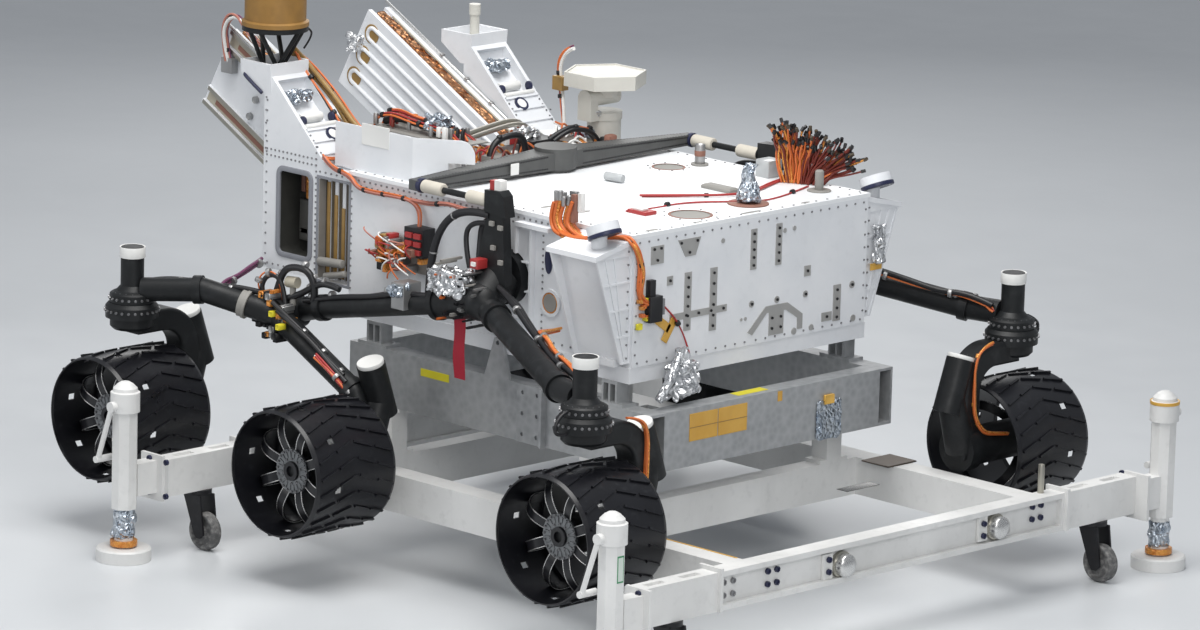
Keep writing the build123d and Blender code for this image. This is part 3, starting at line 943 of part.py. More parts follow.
def caster_fork(x, y):
    """Swivelling fork, its wheel trailing behind."""
    top = TROLLEY_BOTTOM - STEER_GAP
    low = top - CASTER_PLATE_THICK
    solid = rod((x, y, low), (x, y, top), CASTER_PLATE_RADIUS)
    solid = solid + rod((x, y, top), (x, y, top + CASTER_STUD_LONG), CASTER_STUD)
    axle_x = x + CASTER_TRAIL
    inner = CASTER_WIDTH / 2 + CASTER_CHEEK_GAP
    for side in (-1, 1):
        y0, y1 = y + side * inner, y + side * (inner + CASTER_CHEEK)
        cheek = side_view([(x - 44, low), (x + 50, low), (axle_x + 28, CASTER_RADIUS - 8),
                           (axle_x + 10, CASTER_RADIUS - 24),
                           (axle_x - 12, CASTER_RADIUS - 24), (axle_x - 26, CASTER_RADIUS - 4)], y0, y1)
        solid = solid + cheek
    reach = inner + CASTER_CHEEK
    return solid + rod((axle_x, y - reach, CASTER_RADIUS), (axle_x, y + reach, CASTER_RADIUS), CASTER_AXLE)


def caster_wheel(x, y):
    """Caster wheel with a raised tread, bored for the fork's axle."""
    half = CASTER_WIDTH / 2
    tread = make_face(Polyline((-half, CASTER_AXLE + RUNNING_GAP), (-half, 22), (-half + 8, 26),
                               (-half + 8, CASTER_RADIUS - 22),
                               (-half, CASTER_RADIUS - 16), (-half, CASTER_RADIUS - 6), (-half + 6, CASTER_RADIUS),
                               (half - 6, CASTER_RADIUS), (half, CASTER_RADIUS - 6), (half, CASTER_RADIUS - 16),
                               (half - 8, CASTER_RADIUS - 22), (half - 8, 26), (half, 22),
                               (half, CASTER_AXLE + RUNNING_GAP),
                               close=True))
    return Pos(x + CASTER_TRAIL, y, CASTER_RADIUS) * revolve(end_plane(0) * tread, axis=Axis.Y)


# Nodes

def save(name, shape):
    """Write one node, moved so that the whole outline's middle is at X = 0."""
    if isinstance(shape, list):
        shape = Compound(children=[solid for piece in shape for solid in piece.solids()])
    export_step(Pos(SHIFT_X, 0, 0) * shape, f"parts/{name}.step")


def save_pair(name, shape):
    save(f"{name}_right", shape)
    save(f"{name}_left", left_of(shape))


def both_sides(shape):
    """Right and left copies kept in one node."""
    return [shape, left_of(shape)]


os.makedirs("parts", exist_ok=True)

# place, wheel X, hub Z, whether it steers
wheels = [("front", FRONT_X, FRONT_HUB_Z, True),
          ("middle", MIDDLE_X, MIDDLE_HUB_Z, False),
          ("rear", REAR_X, REAR_HUB_Z, True)]

right_wheel = wheel()
housing_right = {}
for place, wheel_x, hub_z, steers in wheels:
    save_pair(f"wheel_{place}", Pos(wheel_x, -HALF_TRACK, hub_z) * right_wheel)
    if steers:
        housing_right[place] = steering_housing(wheel_x, hub_z)
        save_pair(f"steering_housing_{place}", housing_right[place])
        save_pair(f"knuckle_{place}", knuckle(wheel_x, hub_z))
    else:
        save_pair(f"drive_{place}", drive(wheel_x, hub_z))

save_pair("rocker", rocker() - housing_right["front"])
save_pair("bogie", bogie() - housing_right["rear"] - drive(MIDDLE_X, MIDDLE_HUB_Z))
right_rocker = rocker()
save("arm_hoses", [piece for hose in hoses() for piece in both_sides(hose - right_rocker)])
save("streamer", streamer() - right_rocker)

save("chassis_body", chassis_body())
save("lower_rail", lower_rail())
save("top_deck", top_deck())
save("front_panel", front_panel())
save("front_pads", front_pads())
save("side_column", both_sides(side_column()))
save_pair("corner_bracket", corner_bracket())
save("bracket_discs", both_sides(bracket_pod()))
save_pair("rear_tower", tower())
save_pair("heat_exchanger", exchanger())
save("bay_wall", bay_wall())
save("deck_cover", deck_cover())
save("differential_bar", differential_bar())
save_pair("differential_link", differential_link())
save("antenna_truss", antenna_truss())
save("antenna_can", antenna_can())
save("post_antenna", post_antenna())
save("hga_base", hga_base())
save("hga_yoke", hga_yoke())
save("hga_plate", hga_plate())

save("cradle", cradle())
save("cradle_brackets", cradle_brackets())
save("trolley", trolley())
save("trolley_posts", trolley_posts())
save("jacks", jacks())
for place, caster_x in (("front", FRONT_CASTER_X), ("rear", REAR_CASTER_X)):
    save_pair(f"caster_fork_{place}", caster_fork(caster_x, -CASTER_Y))
    save_pair(f"caster_wheel_{place}", caster_wheel(caster_x, -CASTER_Y))
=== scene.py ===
import json
import math
import random

import bpy
from mathutils import Matrix, Vector


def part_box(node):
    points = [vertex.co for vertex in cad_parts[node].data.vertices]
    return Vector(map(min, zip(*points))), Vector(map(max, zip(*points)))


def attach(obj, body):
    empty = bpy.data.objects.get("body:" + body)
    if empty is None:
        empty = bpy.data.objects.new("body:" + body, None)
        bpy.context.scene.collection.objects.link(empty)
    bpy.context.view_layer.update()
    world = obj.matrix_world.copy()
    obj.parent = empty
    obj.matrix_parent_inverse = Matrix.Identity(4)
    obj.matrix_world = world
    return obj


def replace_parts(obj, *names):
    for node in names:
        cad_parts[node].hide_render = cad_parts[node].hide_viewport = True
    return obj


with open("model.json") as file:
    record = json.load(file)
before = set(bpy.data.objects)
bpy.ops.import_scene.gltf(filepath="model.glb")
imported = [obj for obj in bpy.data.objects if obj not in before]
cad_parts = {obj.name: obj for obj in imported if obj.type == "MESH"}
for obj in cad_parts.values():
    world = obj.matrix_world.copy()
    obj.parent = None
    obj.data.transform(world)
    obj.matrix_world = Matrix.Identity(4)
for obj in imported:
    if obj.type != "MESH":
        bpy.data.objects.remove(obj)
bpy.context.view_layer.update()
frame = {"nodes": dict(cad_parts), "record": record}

# The CAD source counts X from a point between the wheels, and its front panel ends BODY_FRONT ahead of it.
BODY_FRONT = 0.718
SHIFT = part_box("front_panel")[1].x - BODY_FRONT
HALF_BODY = 0.625
HALF_TRACK = 1.150
DECK_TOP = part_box("top_deck")[1].z
STEER_HEIGHT = 0.435
RIGHT, LEFT = -1, 1
SIDES = (("right", RIGHT), ("left", LEFT))
WHEEL_X = {"front": 1.000, "middle": -0.416, "rear": -1.448}
HUB_Z = {"front": 0.465, "middle": 0.437, "rear": 0.457}
AHEAD, LEFTWARD, UP = Vector((1, 0, 0)), Vector((0, 1, 0)), Vector((0, 0, 1))
RIGHTWARD = -LEFTWARD


def at(x, y, z):
    """A point of the rover in the row frame, from metres ahead of the source's own zero."""
    return Vector((x + SHIFT, y, z))


# Camera, lights and floor

PICTURE_WIDTH = 1200
FOCAL_PIXELS = 7069.74
SENSOR = 36
CAMERA_TURN, CAMERA_RISE, CAMERA_ROLL = math.radians(45.36), math.radians(12.46), math.radians(1.52)
CAMERA_AWAY, CAMERA_ACROSS, CAMERA_UP = 26.77, -0.0494, -0.1908
CAMERA_BASE = 1.125


def set_camera():
    """The long lens that the photograph was taken with, ahead and to the right of the rover."""
    flat, rise = math.cos(CAMERA_RISE), math.sin(CAMERA_RISE)
    view = Vector((-math.cos(CAMERA_TURN) * flat, math.sin(CAMERA_TURN) * flat, -rise))
    right = view.cross(UP).normalized()
    up = right.cross(view)
    across = right * math.cos(CAMERA_ROLL) + up * math.sin(CAMERA_ROLL)
    upward = up * math.cos(CAMERA_ROLL) - right * math.sin(CAMERA_ROLL)
    eye = right * CAMERA_ACROSS + up * CAMERA_UP - view * CAMERA_AWAY + Vector((SHIFT, 0, CAMERA_BASE))
    lens = bpy.data.cameras.new("photo_camera")
    lens.sensor_width = SENSOR
    lens.lens = SENSOR * FOCAL_PIXELS / PICTURE_WIDTH
    lens.clip_end = 200
    camera = bpy.data.objects.new("photo_camera", lens)
    bpy.context.scene.collection.objects.link(camera)
    camera.matrix_world = Matrix((across, upward, -view)).transposed().to_4x4()
    camera.location = eye
    bpy.context.scene.camera = camera


def soft_light(name, place, size, watts, aim=(0, 0, 0.9)):
    """One large ceiling panel of light, aimed at the rover."""
    lamp = bpy.data.lights.new(name, "AREA")
    lamp.shape = "DISK"
    lamp.size = size
    lamp.energy = watts
    lamp.color = (1.0, 0.99, 0.97)
    holder = bpy.data.objects.new(name, lamp)
    bpy.context.scene.collection.objects.link(holder)
    holder.location = place
    holder.rotation_euler = (Vector(aim) - Vector(place)).to_track_quat("-Z", "Y").to_euler()


def set_stage():
    """Pale floor, ceiling light and a soft surround."""
    bpy.ops.mesh.primitive_plane_add(size=60, location=(0, 0, -0.0005))
    floor = bpy.context.object
    floor.name = "floor"
    floor.data.materials.append(floor_paint())
    soft_light("ceiling_light", (1.0, -1.5, 7.5), 6.0, 545)
    soft_light("front_light", (7.0, -5.0, 4.5), 4.0, 205)
    soft_light("side_light", (-4.0, -7.0, 4.0), 4.0, 100)
    soft_light("back_light", (-6.0, 6.0, 5.0), 5.0, 150)
    surround = bpy.data.worlds.new("surround")
    surround.use_nodes = True
    shade = surround.node_tree.nodes["Background"]
    shade.inputs["Color"].default_value = (0.86, 0.90, 0.96, 1)
    shade.inputs["Strength"].default_value = 0.38
    bpy.context.scene.world = surround
    bpy.context.scene.view_settings.view_transform = "Standard"
    bpy.context.scene.view_settings.look = "None"


# Materials: values wired together with plain arithmetic

class Signal:
    """One value inside a finish; arithmetic on it adds Math nodes."""

    def __init__(self, finish, socket):
        self.finish = finish
        self.socket = socket

    def __add__(self, other):
        return self.finish.maths("ADD", self, other)

    def __sub__(self, other):
        return self.finish.maths("SUBTRACT", self, other)

    def __rsub__(self, other):
        return self.finish.maths("SUBTRACT", other, self)

    def __mul__(self, other):
        return self.finish.maths("MULTIPLY", self, other)

    __radd__ = __add__
    __rmul__ = __mul__


class Finish:
    """A node material: a principled shader fed by patterns in Object coordinates."""

    def __init__(self, name, colour, roughness, metallic=0.0):
        self.material = bpy.data.materials.new(name)
        self.material.use_nodes = True
        self.tree = self.material.node_tree
        self.shader = self.tree.nodes["Principled BSDF"]
        self.place = self.tree.nodes.new("ShaderNodeTexCoord").outputs["Object"]
        self.feed("Base Color", self.opaque(colour))
        self.feed("Roughness", roughness)
        self.feed("Metallic", metallic)

    @staticmethod
    def opaque(colour):
        """A plain colour with its alpha; a signal stays as it is."""
        return (*colour, 1) if isinstance(colour, tuple) else colour

    def feed(self, socket, value):
        """Sets one socket of the shader, or links it to a signal."""
        target = self.shader.inputs[socket]
        if isinstance(value, Signal):
            self.tree.links.new(value.socket, target)
        else:
            target.default_value = value

    def node(self, kind, settings, inputs, output=0):
        """Any node, from its settings and then its sockets' values or links."""
        made = self.tree.nodes.new("ShaderNode" + kind)
        for name, value in settings.items():
            setattr(made, name, value)
        for name, value in inputs.items():
            if isinstance(value, Signal):
                self.tree.links.new(value.socket, made.inputs[name])
            elif isinstance(value, bpy.types.NodeSocket):
                self.tree.links.new(value, made.inputs[name])
            else:
                made.inputs[name].default_value = value
        return Signal(self, made.outputs[output])

    def maths(self, operation, first, second):
        """One Math node."""
        return self.node("Math", {"operation": operation}, {0: first, 1: second})

    def stretched(self, stretch):
        """The place on the object, scaled differently along each axis."""
        return self.node("Mapping", {}, {"Vector": self.place, "Scale": stretch})

    def noise(self, scale, detail=2.0, stretch=None):
        """Cloudy values from 0 to 1."""
        where = self.stretched(stretch) if stretch else self.place
        return self.node("TexNoise", {}, {"Vector": where, "Scale": scale, "Detail": detail})

    def cells(self, scale, feature="F1"):
        """Values that grow away from scattered points, or from the lines between them."""
        return self.node("TexVoronoi", {"feature": feature}, {"Vector": self.place, "Scale": scale})

    def between(self, value, low, high):
        """A value remapped so that low becomes 0 and high becomes 1."""
        return self.node("MapRange", {}, {"Value": value, "From Min": low, "From Max": high})

    def mix(self, share, first, second):
        """One colour fading into another."""
        inputs = {0: share, 6: self.opaque(first), 7: self.opaque(second)}
        return self.node("Mix", {"data_type": "RGBA"}, inputs, output=2)

    def bump(self, height, strength, distance):
        """Adds relief on top of any relief that is already there."""
        inputs = {"Height": height, "Strength": strength, "Distance": distance}
        if self.shader.inputs["Normal"].is_linked:
            inputs["Normal"] = self.shader.inputs["Normal"].links[0].from_socket
        self.feed("Normal", self.node("Bump", {}, inputs))


def floor_paint():
    """Pale glossy resin floor with broad soft mottling."""
    paint = Finish("floor_resin", (0.60, 0.62, 0.64), 0.32)
    cloud = paint.noise(0.6, 3)
    paint.feed("Base Color", paint.mix(cloud, (0.56, 0.58, 0.60), (0.66, 0.68, 0.70)))
    paint.feed("Roughness", 0.26 + 0.2 * paint.noise(4, 2))
    return paint.material


def white_paint(name, low, high, grime=0.25):
    """White thermal paint: faint roller texture, handling marks and long grey smears."""
    paint = Finish(name, high, 0.45)
    broad = paint.between(paint.noise(3.2, 4), 0.35, 0.7)
    marks = paint.between(paint.noise(26, 5), 0.56, 0.78)
    smears = paint.between(paint.noise(9, 4, stretch=(1, 1, 0.25)), 0.58, 0.8)
    shade = paint.mix(broad, low, high)
    dusty = tuple(value * 0.72 for value in low)
    paint.feed("Base Color", paint.mix((marks * 0.35 + smears * 0.3) * grime * 2, shade, dusty))
    paint.feed("Roughness", 0.40 + 0.16 * broad + 0.12 * marks)
    paint.bump(paint.noise(420, 2), 0.12, 0.0006)
    paint.bump(paint.noise(14, 2), 0.10, 0.004)
    return paint.material


def dark_tube(name, colour, shine):
    """Dark wrapped tube: matt skin with rubbed patches and fine scratches."""
    paint = Finish(name, colour, shine)
    rubbed = paint.between(paint.noise(18, 5), 0.52, 0.75)
    scratch = paint.between(paint.noise(60, 3, stretch=(0.2, 1, 1)), 0.62, 0.72)
    lighter = tuple(value * 2.0 + 0.008 for value in colour)
    paint.feed("Base Color", paint.mix(rubbed * 0.6 + scratch * 0.35, colour, lighter))
    paint.feed("Roughness", shine - 0.12 * rubbed + 0.1 * scratch)
    paint.feed("Specular IOR Level", 0.32)
    paint.bump(paint.noise(240, 3), 0.18, 0.0008)
    return paint.material


def wheel_black():
    """Black anodised wheel skin with a machined grain and rubbed grey patches."""
    paint = Finish("wheel_black", (0.007, 0.007, 0.009), 0.30)
    worn = paint.between(paint.noise(46, 5), 0.58, 0.76)
    cloud = paint.noise(7, 3)
    skin = paint.mix(cloud, (0.0045, 0.0045, 0.006), (0.009, 0.0095, 0.013))
    paint.feed("Base Color", paint.mix(worn * 0.4, skin, (0.034, 0.036, 0.042)))
    paint.feed("Roughness", 0.24 + 0.16 * cloud + 0.08 * worn)
    paint.feed("Specular IOR Level", 0.45)
    paint.bump(paint.noise(320, 2), 0.12, 0.0005)
    return paint.material


def bare_metal(name, colour, shine=0.36, grain=(1, 1, 12)):
    """Machined metal with a drawn grain."""
    paint = Finish(name, colour, shine, metallic=0.9)
    lines = paint.noise(160, 3, stretch=grain)
    cloud = paint.noise(11, 3)
    darker = tuple(value * 0.7 for value in colour)
    paint.feed("Base Color", paint.mix(cloud * 0.6 + lines * 0.4, darker, colour))
    paint.feed("Roughness", shine + 0.18 * (lines - 0.5) + 0.08 * cloud)
    paint.bump(lines, 0.08, 0.0005)
    return paint.material


def zinc_steel():
    """Galvanised steel with a dull spangle."""
    paint = Finish("zinc_steel", (0.40, 0.41, 0.42), 0.44, metallic=0.55)
    flakes = paint.cells(34)
    cloud = paint.noise(2.4, 4)
    shade = paint.mix(flakes, (0.33, 0.34, 0.35), (0.47, 0.48, 0.49))
    paint.feed("Base Color", paint.mix(paint.between(cloud, 0.4, 0.7) * 0.5, shade, (0.52, 0.53, 0.53)))
    paint.feed("Roughness", 0.36 + 0.2 * cloud + 0.05 * flakes)
    paint.bump(paint.noise(60, 2), 0.05, 0.001)
    return paint.material


def crinkled(name, colour, second, metallic, scale, depth, shine):
    """Crumpled film: hard folds with a bright skin."""
    paint = Finish(name, colour, shine, metallic=metallic)
    folds = paint.cells(scale, feature="DISTANCE_TO_EDGE")
    soft = paint.noise(scale * 0.6, 4)
    paint.feed("Base Color", paint.mix(paint.between(soft, 0.3, 0.7), colour, second))
    paint.feed("Roughness", shine + 0.18 * soft)
    paint.bump(paint.between(folds, 0.0, 0.35) * 0.6 + soft * 0.45, depth, 0.010)
    return paint.material


def plain_plastic(name, colour, roughness=0.42, spread=0.25, grain=300):
    """Moulded or taped surface with a fine even grain and slight fading."""
    paint = Finish(name, colour, roughness)
    cloud = paint.noise(22, 3)
    darker = tuple(value * (1 - spread) for value in colour)
    paint.feed("Base Color", paint.mix(cloud, darker, colour))
    paint.feed("Roughness", roughness - 0.08 + 0.18 * cloud)
    paint.bump(paint.noise(grain, 2), 0.14, 0.0006)
    return paint.material


def tread_rubber():
    """Dusty grey rubber of the caster wheels."""
    paint = Finish("caster_tread", (0.16, 0.16, 0.16), 0.7)
    dust = paint.between(paint.noise(60, 4), 0.45, 0.7)
    paint.feed("Base Color", paint.mix(dust, (0.10, 0.10, 0.10), (0.24, 0.235, 0.23)))
    paint.bump(paint.noise(180, 3), 0.3, 0.001)
    return paint.material


def bar_paint():
    """Dark grey matt paint of the differential bar."""
    paint = Finish("bar_grey", (0.085, 0.088, 0.088), 0.5, metallic=0.2)
    cloud = paint.noise(14, 3)
    paint.feed("Base Color", paint.mix(cloud, (0.060, 0.062, 0.062), (0.12, 0.122, 0.120)))
    paint.feed("Roughness", 0.42 + 0.2 * cloud)
    paint.bump(paint.noise(260, 2), 0.15, 0.0006)
    return paint.material


def made_by(maker, table):
    """One finish for each entry of a table, all made by the same function."""
    return {name: maker(name, *values) for name, values in table.items()}


# Shaded colour, lit colour and grime of each white paint
WHITE_PAINTS = {
    "white_panel": ((0.70, 0.72, 0.75), (0.80, 0.81, 0.83)),
    # The deck's white is a lighter copy of the panel white: painted light on the upward face, with less
    # grime.
    "white_deck": ((0.78, 0.80, 0.82), (0.88, 0.89, 0.90), 0.15),
    "stand_white": ((0.66, 0.66, 0.65), (0.78, 0.78, 0.77), 0.4),
    "antenna_white": ((0.56, 0.55, 0.50), (0.64, 0.63, 0.58)),
}
# Colour and roughness of each dark wrapped skin
DARK_SKINS = {
    "dark_anodised": ((0.0085, 0.0095, 0.0105), 0.46),
    "caster_black": ((0.010, 0.010, 0.012), 0.40),
}
# Colour, roughness and grain of each bare metal
BARE_METALS = {
    "bare_aluminium": ((0.56, 0.56, 0.57),),
    "pad_metal": ((0.62, 0.61, 0.59), 0.5, (1, 6, 1)),
    "clip_silver": ((0.46, 0.46, 0.46), 0.4, (4, 4, 4)),
    # The bright edge metal below is plain bright metal on the exchanger rods and trolley domes, and paints
    # the highlights glinting along the wheel spokes.
    "edge_bright": ((0.74, 0.74, 0.73), 0.24, (3, 3, 3)),
    "screw_steel": ((0.34, 0.34, 0.35), 0.35),
    "bronze_plate": ((0.150, 0.125, 0.105), 0.5, (2, 2, 2)),
    "tube_silver": ((0.50, 0.48, 0.42), 0.3, (14, 1, 1)),
    "wheel_silver": ((0.26, 0.27, 0.28), 0.42, (6, 6, 6)),
}
# Two colours, metallic share, fold scale, fold depth and roughness of each crumpled film
FILMS = {
    "kapton": ((0.62, 0.20, 0.035), (0.78, 0.36, 0.08), 0.35, 60, 0.5, 0.2),
    "silver_foil": ((0.62, 0.63, 0.65), (0.80, 0.81, 0.82), 1.0, 34, 0.9, 0.2),
    "edge_copper": ((0.28, 0.085, 0.020), (0.62, 0.36, 0.20), 1.0, 38, 0.9, 0.3),
    "blue_foil": ((0.36, 0.42, 0.50), (0.62, 0.66, 0.70), 1.0, 46, 0.8, 0.2),
    "tape_gold": ((0.62, 0.34, 0.055), (0.70, 0.42, 0.09), 0.15, 14, 0.2, 0.3),
}
# Colour, roughness, fading and grain of each plastic, tape and label
PLASTICS = {
    "antenna_gold": ((0.33, 0.175, 0.040), 0.5, 0.45, 90),
    "hose_black": ((0.010, 0.010, 0.013), 0.5, 0.4, 500),
    "streamer_cloth": ((0.36, 0.010, 0.028), 0.7, 0.3, 900),
    "wire_orange": ((0.70, 0.17, 0.04), 0.4),
    "wire_pink": ((0.52, 0.20, 0.15), 0.45),
    "wire_red": ((0.42, 0.035, 0.035), 0.4),
    "wire_purple": ((0.16, 0.045, 0.11), 0.45),
    "wire_maroon": ((0.17, 0.022, 0.012), 0.4),
    "hose_tan": ((0.47, 0.43, 0.34), 0.4, 0.3, 200),
    "black_plastic": ((0.010, 0.010, 0.012), 0.4),
    "label_pale": ((0.62, 0.70, 0.64), 0.5, 0.06),
    "navy_plastic": ((0.018, 0.022, 0.065), 0.4),
    "cream_cloth": ((0.62, 0.58, 0.50), 0.8, 0.2, 700),
    "tape_yellow": ((0.75, 0.66, 0.03), 0.5, 0.15),
    "port_brown": ((0.30, 0.14, 0.10), 0.6, 0.4),
    "port_grey": ((0.30, 0.29, 0.27), 0.6, 0.25),
    "window_rim": ((0.26, 0.27, 0.30), 0.5, 0.15),
    "window_dark": ((0.030, 0.030, 0.026), 0.22, 0.5, 60),
    # The dark recess entry below is painted shade lining each tower window's pocket.
    "window_painted_shade": ((0.052, 0.052, 0.046), 0.85, 0.5, 60),
    "recess_grey": ((0.150, 0.148, 0.135), 0.7, 0.5, 40),
    # The bay's grey below is painted shade on the walls of each tower's recessed bay.
    "bay_painted_shade": ((0.30, 0.285, 0.265), 0.6, 0.3, 40),
    "bay_brown": ((0.105, 0.080, 0.052), 0.6, 0.5, 40),
    "slat_gold": ((0.40, 0.24, 0.07), 0.35, 0.5, 120),
    "label_white": ((0.78, 0.78, 0.76), 0.5, 0.06),
    "label_green": ((0.05, 0.28, 0.12), 0.5, 0.1),
    "clear_film": ((0.50, 0.52, 0.53), 0.12, 0.3, 40),
}

LOOKS = {
    "wheel_black": wheel_black(),
    "bar_grey": bar_paint(),
    "stand_grey": zinc_steel(),
    "caster_tread": tread_rubber(),
}
LOOKS.update(made_by(white_paint, WHITE_PAINTS))
LOOKS.update(made_by(dark_tube, DARK_SKINS))
LOOKS.update(made_by(bare_metal, BARE_METALS))
LOOKS.update(made_by(crinkled, FILMS))
LOOKS.update(made_by(plain_plastic, PLASTICS))

for part in frame["record"]["subparts"]:
    mesh = frame["nodes"][part["node"]].data
    mesh.materials.clear()
    mesh.materials.append(LOOKS[part["material_slot"]])


# Modelling, as by hand

COPY_TURN = 0.7
FOLD_SIZE, FOLD_HEIGHT, FOLD_MIDDLE = 0.045, 2.2, 0.22


def deselect():
    """Leaves nothing selected."""
    bpy.ops.object.select_all(action="DESELECT")


def only(piece):
    """Makes one piece the only selected and active object."""
    deselect()
    piece.select_set(True)
    bpy.context.view_layer.objects.active = piece


def pick(piece, test):
    """Opens a piece in edit mode with the faces selected whose centre and normal pass the test."""
    only(piece)
    bpy.ops.object.mode_set(mode="EDIT")
    bpy.ops.mesh.select_mode(type="FACE")
    bpy.ops.mesh.select_all(action="DESELECT")
    bpy.ops.object.mode_set(mode="OBJECT")
    for face in piece.data.polygons:
        face.select = bool(test(face.center, face.normal))
    bpy.ops.object.mode_set(mode="EDIT")


def settle(piece):
    """Leaves edit mode and puts the piece's place into its mesh."""
    if bpy.context.mode != "OBJECT":
        bpy.ops.object.mode_set(mode="OBJECT")
    only(piece)
    bpy.ops.object.transform_apply(location=True, rotation=True, scale=True)
    return piece


def stepped(piece, out, *steps, opened=False):
    """Insets the faces that look out, moves each inset along out by its lift, and can open the last one."""
    pick(piece, lambda centre, normal: normal.dot(out) > 0.9)
    for inset, lift in steps:
        bpy.ops.mesh.inset(thickness=inset)
        if lift:
            bpy.ops.transform.translate(value=out * lift)
    if opened:
        bpy.ops.mesh.delete(type="FACE")
    return settle(piece)


def divided(piece, cuts):
    """Divides every face of a piece into a finer grid."""
    pick(piece, lambda centre, normal: True)
    bpy.ops.mesh.subdivide(number_cuts=cuts)
    return settle(piece)


def finished(piece, name, look, body="rover", angle=40):
    """Names, paints and smooths a piece, and sets it riding on its body."""
    settle(piece)
    piece.name = name
    piece.data.name = name
    piece.data.materials.clear()
    piece.data.materials.append(LOOKS[look])
    bpy.ops.object.shade_smooth_by_angle(angle=math.radians(angle))
    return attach(piece, body)


def cube(centre, size):
    """A plain box to start from."""
    bpy.ops.mesh.primitive_cube_add(size=1, location=centre, scale=size)
    return settle(bpy.context.object)


def cylinder(start, end, radius, sides=24):
    """A plain round bar between two points, to start from."""
    start, end = Vector(start), Vector(end)
    along = end - start
    turn = along.to_track_quat("Z", "Y").to_euler()
    bpy.ops.mesh.primitive_cylinder_add(vertices=sides, radius=radius, depth=along.length,
                                        location=(start + end) / 2, rotation=turn)
    return settle(bpy.context.object)


def apply_all(piece):
    """Applies every modifier of a piece."""
    only(piece)
    for modifier in list(piece.modifiers):
        bpy.ops.object.modifier_apply(modifier=modifier.name)
    return piece


def bevelled(piece, width, steps=2):
    """Rounds every sharp edge of a piece."""
    modifier = piece.modifiers.new("rounding", "BEVEL")
    modifier.width = width
    modifier.segments = steps
    modifier.limit_method = "ANGLE"
    return apply_all(piece)


def joined(pieces):
    """Joins pieces into one mesh."""
    only(pieces[0])
    for piece in pieces:
        piece.select_set(True)
    if len(pieces) > 1:
        bpy.ops.object.join()
    return bpy.context.object


def turn_to(normal, spin=0.0):
    """A turn that stands +Z along a direction."""
    return Vector(normal).to_track_quat("Z", "Y").to_matrix().to_4x4() @ Matrix.Rotation(spin, 4, "Z")


def copied(model, moves):
    """Copies a model once for each move, each copy with its own mesh, and joins the copies."""
    copies = []
    for move in moves:
        copy = model.copy()
        copy.data = model.data.copy()
        copy.data.transform(move)
        bpy.context.scene.collection.objects.link(copy)
        copies.append(copy)
    bpy.data.objects.remove(model)
    return joined(copies)


def repeated(model, places):
    """Copies a small model to points and normals, each turned a little further about its own axis."""
    return copied(model, [Matrix.Translation(point) @ turn_to(normal, index * COPY_TURN)
                          for index, (point, normal) in enumerate(places)])


def spun(model, centre, axis, count, offset=0.0):
    """Copies a small model round an axis."""
    there = Matrix.Translation(centre)
    back = there.inverted()
    return copied(model, [there @ Matrix.Rotation(2 * math.pi * (index + offset) / count, 4, axis) @ back
                          for index in range(count)])


def cap_screw(radius=0.0045, height=0.0035):
    """A small socket screw: a rounded head with a sunk middle."""
    screw = cylinder((0, 0, -0.0005), (0, 0, height), radius, 8)
    return stepped(screw, UP, (radius * 0.3, 0.0004), (radius * 0.2, -height * 0.5))


def row(start, end, count, normal):
    """Evenly spaced places between two points."""
    start, end = Vector(start), Vector(end)
    return [(start.lerp(end, index / max(count - 1, 1)), Vector(normal)) for index in range(count)]


def ring(centre, normal, radius, count, offset=0.0):
    """Places round a circle, all facing along its normal."""
    turn = turn_to(normal)
    places = []
    for index in range(count):
        angle = 2 * math.pi * (index + offset) / count
        point = Vector(centre) + (turn @ Vector((radius * math.cos(angle), radius * math.sin(angle), 0)))
        places.append((point, Vector(normal)))
    return places


def around(centre, radius, count, offset=0.0):
    """Places round a flange, each facing away from its middle."""
    places = []
    for index in range(count):
        angle = 2 * math.pi * (index + offset) / count
        out = Vector((math.cos(angle), math.sin(angle), 0))
        places.append((centre + out * radius, out))
    return places


def tubes(name, lines, radius, steps=6):
    """Round tubes with closed ends along smooth paths, as one mesh."""
    curve = bpy.data.curves.new(name, "CURVE")
    curve.dimensions = "3D"
    curve.bevel_depth = radius
    curve.bevel_resolution = 2
    curve.use_fill_caps = True
    curve.resolution_u = steps
    for points in lines:
        line = curve.splines.new("NURBS")
        line.points.add(len(points) - 1)
        for place, point in zip(line.points, points):
            place.co = (*point, 1)
        line.order_u = 3
        line.use_endpoint_u = True
    piece = bpy.data.objects.new(name, curve)
    bpy.context.scene.collection.objects.link(piece)
    only(piece)
    bpy.ops.object.convert(target="MESH")
    return bpy.context.object


def wires(name, lines, radius, look, body="rover", steps=6):
    """Tied wires or hoses along smooth paths."""
    return finished(tubes(name, lines, radius, steps), name, look, body, 60)


set_camera()
set_stage()


def wheels(*chosen):
    """Place, side, sign and hub centre of each wheel in the chosen places."""
    for place in chosen:
        for side, sign in SIDES:
            yield place, side, sign, at(WHEEL_X[place], sign * HALF_TRACK, HUB_Z[place])


def wheel_body(place, side):
    """The body that turns with a wheel."""
    return f"wheel_{place}_{side}"


def arm_body(place, side):
    """The body that carries a wheel's hub drive."""
    return "rover" if place == "middle" else f"steer_{place}_{side}"


# Screws and rivets

MAST_PORT, SMALL_PORT = (0.58, -0.195), (-0.102, 0.385)
# First X and Z, last X and Z, and number of the fasteners in each row along the side skin
SIDE_ROWS = ((-0.97, 1.408, 0.42, 1.408, 46), (-0.955, 1.388, 0.42, 1.388, 46),
             (-0.792, 0.985, -0.792, 1.36, 14), (0.245, 0.985, 0.245, 1.36, 16),
             (-0.70, 0.965, 0.40, 0.965, 26), (-1.27, 1.428, -0.995, 1.428, 13),
             (-1.27, 1.452, -0.995, 1.452, 13), (-0.992, 1.00, -0.992, 1.50, 22),
             (-1.272, 1.00, -1.272, 1.64, 17), (-1.26, 1.005, -1.01, 1.005, 9))
# First X and Y, last X and Y, and number of the fasteners in each row on the deck
DECK_ROWS = ((-0.78, 0.615, 0.68, 0.615, 30), (0.70, 0.05, 0.70, 0.60, 10))
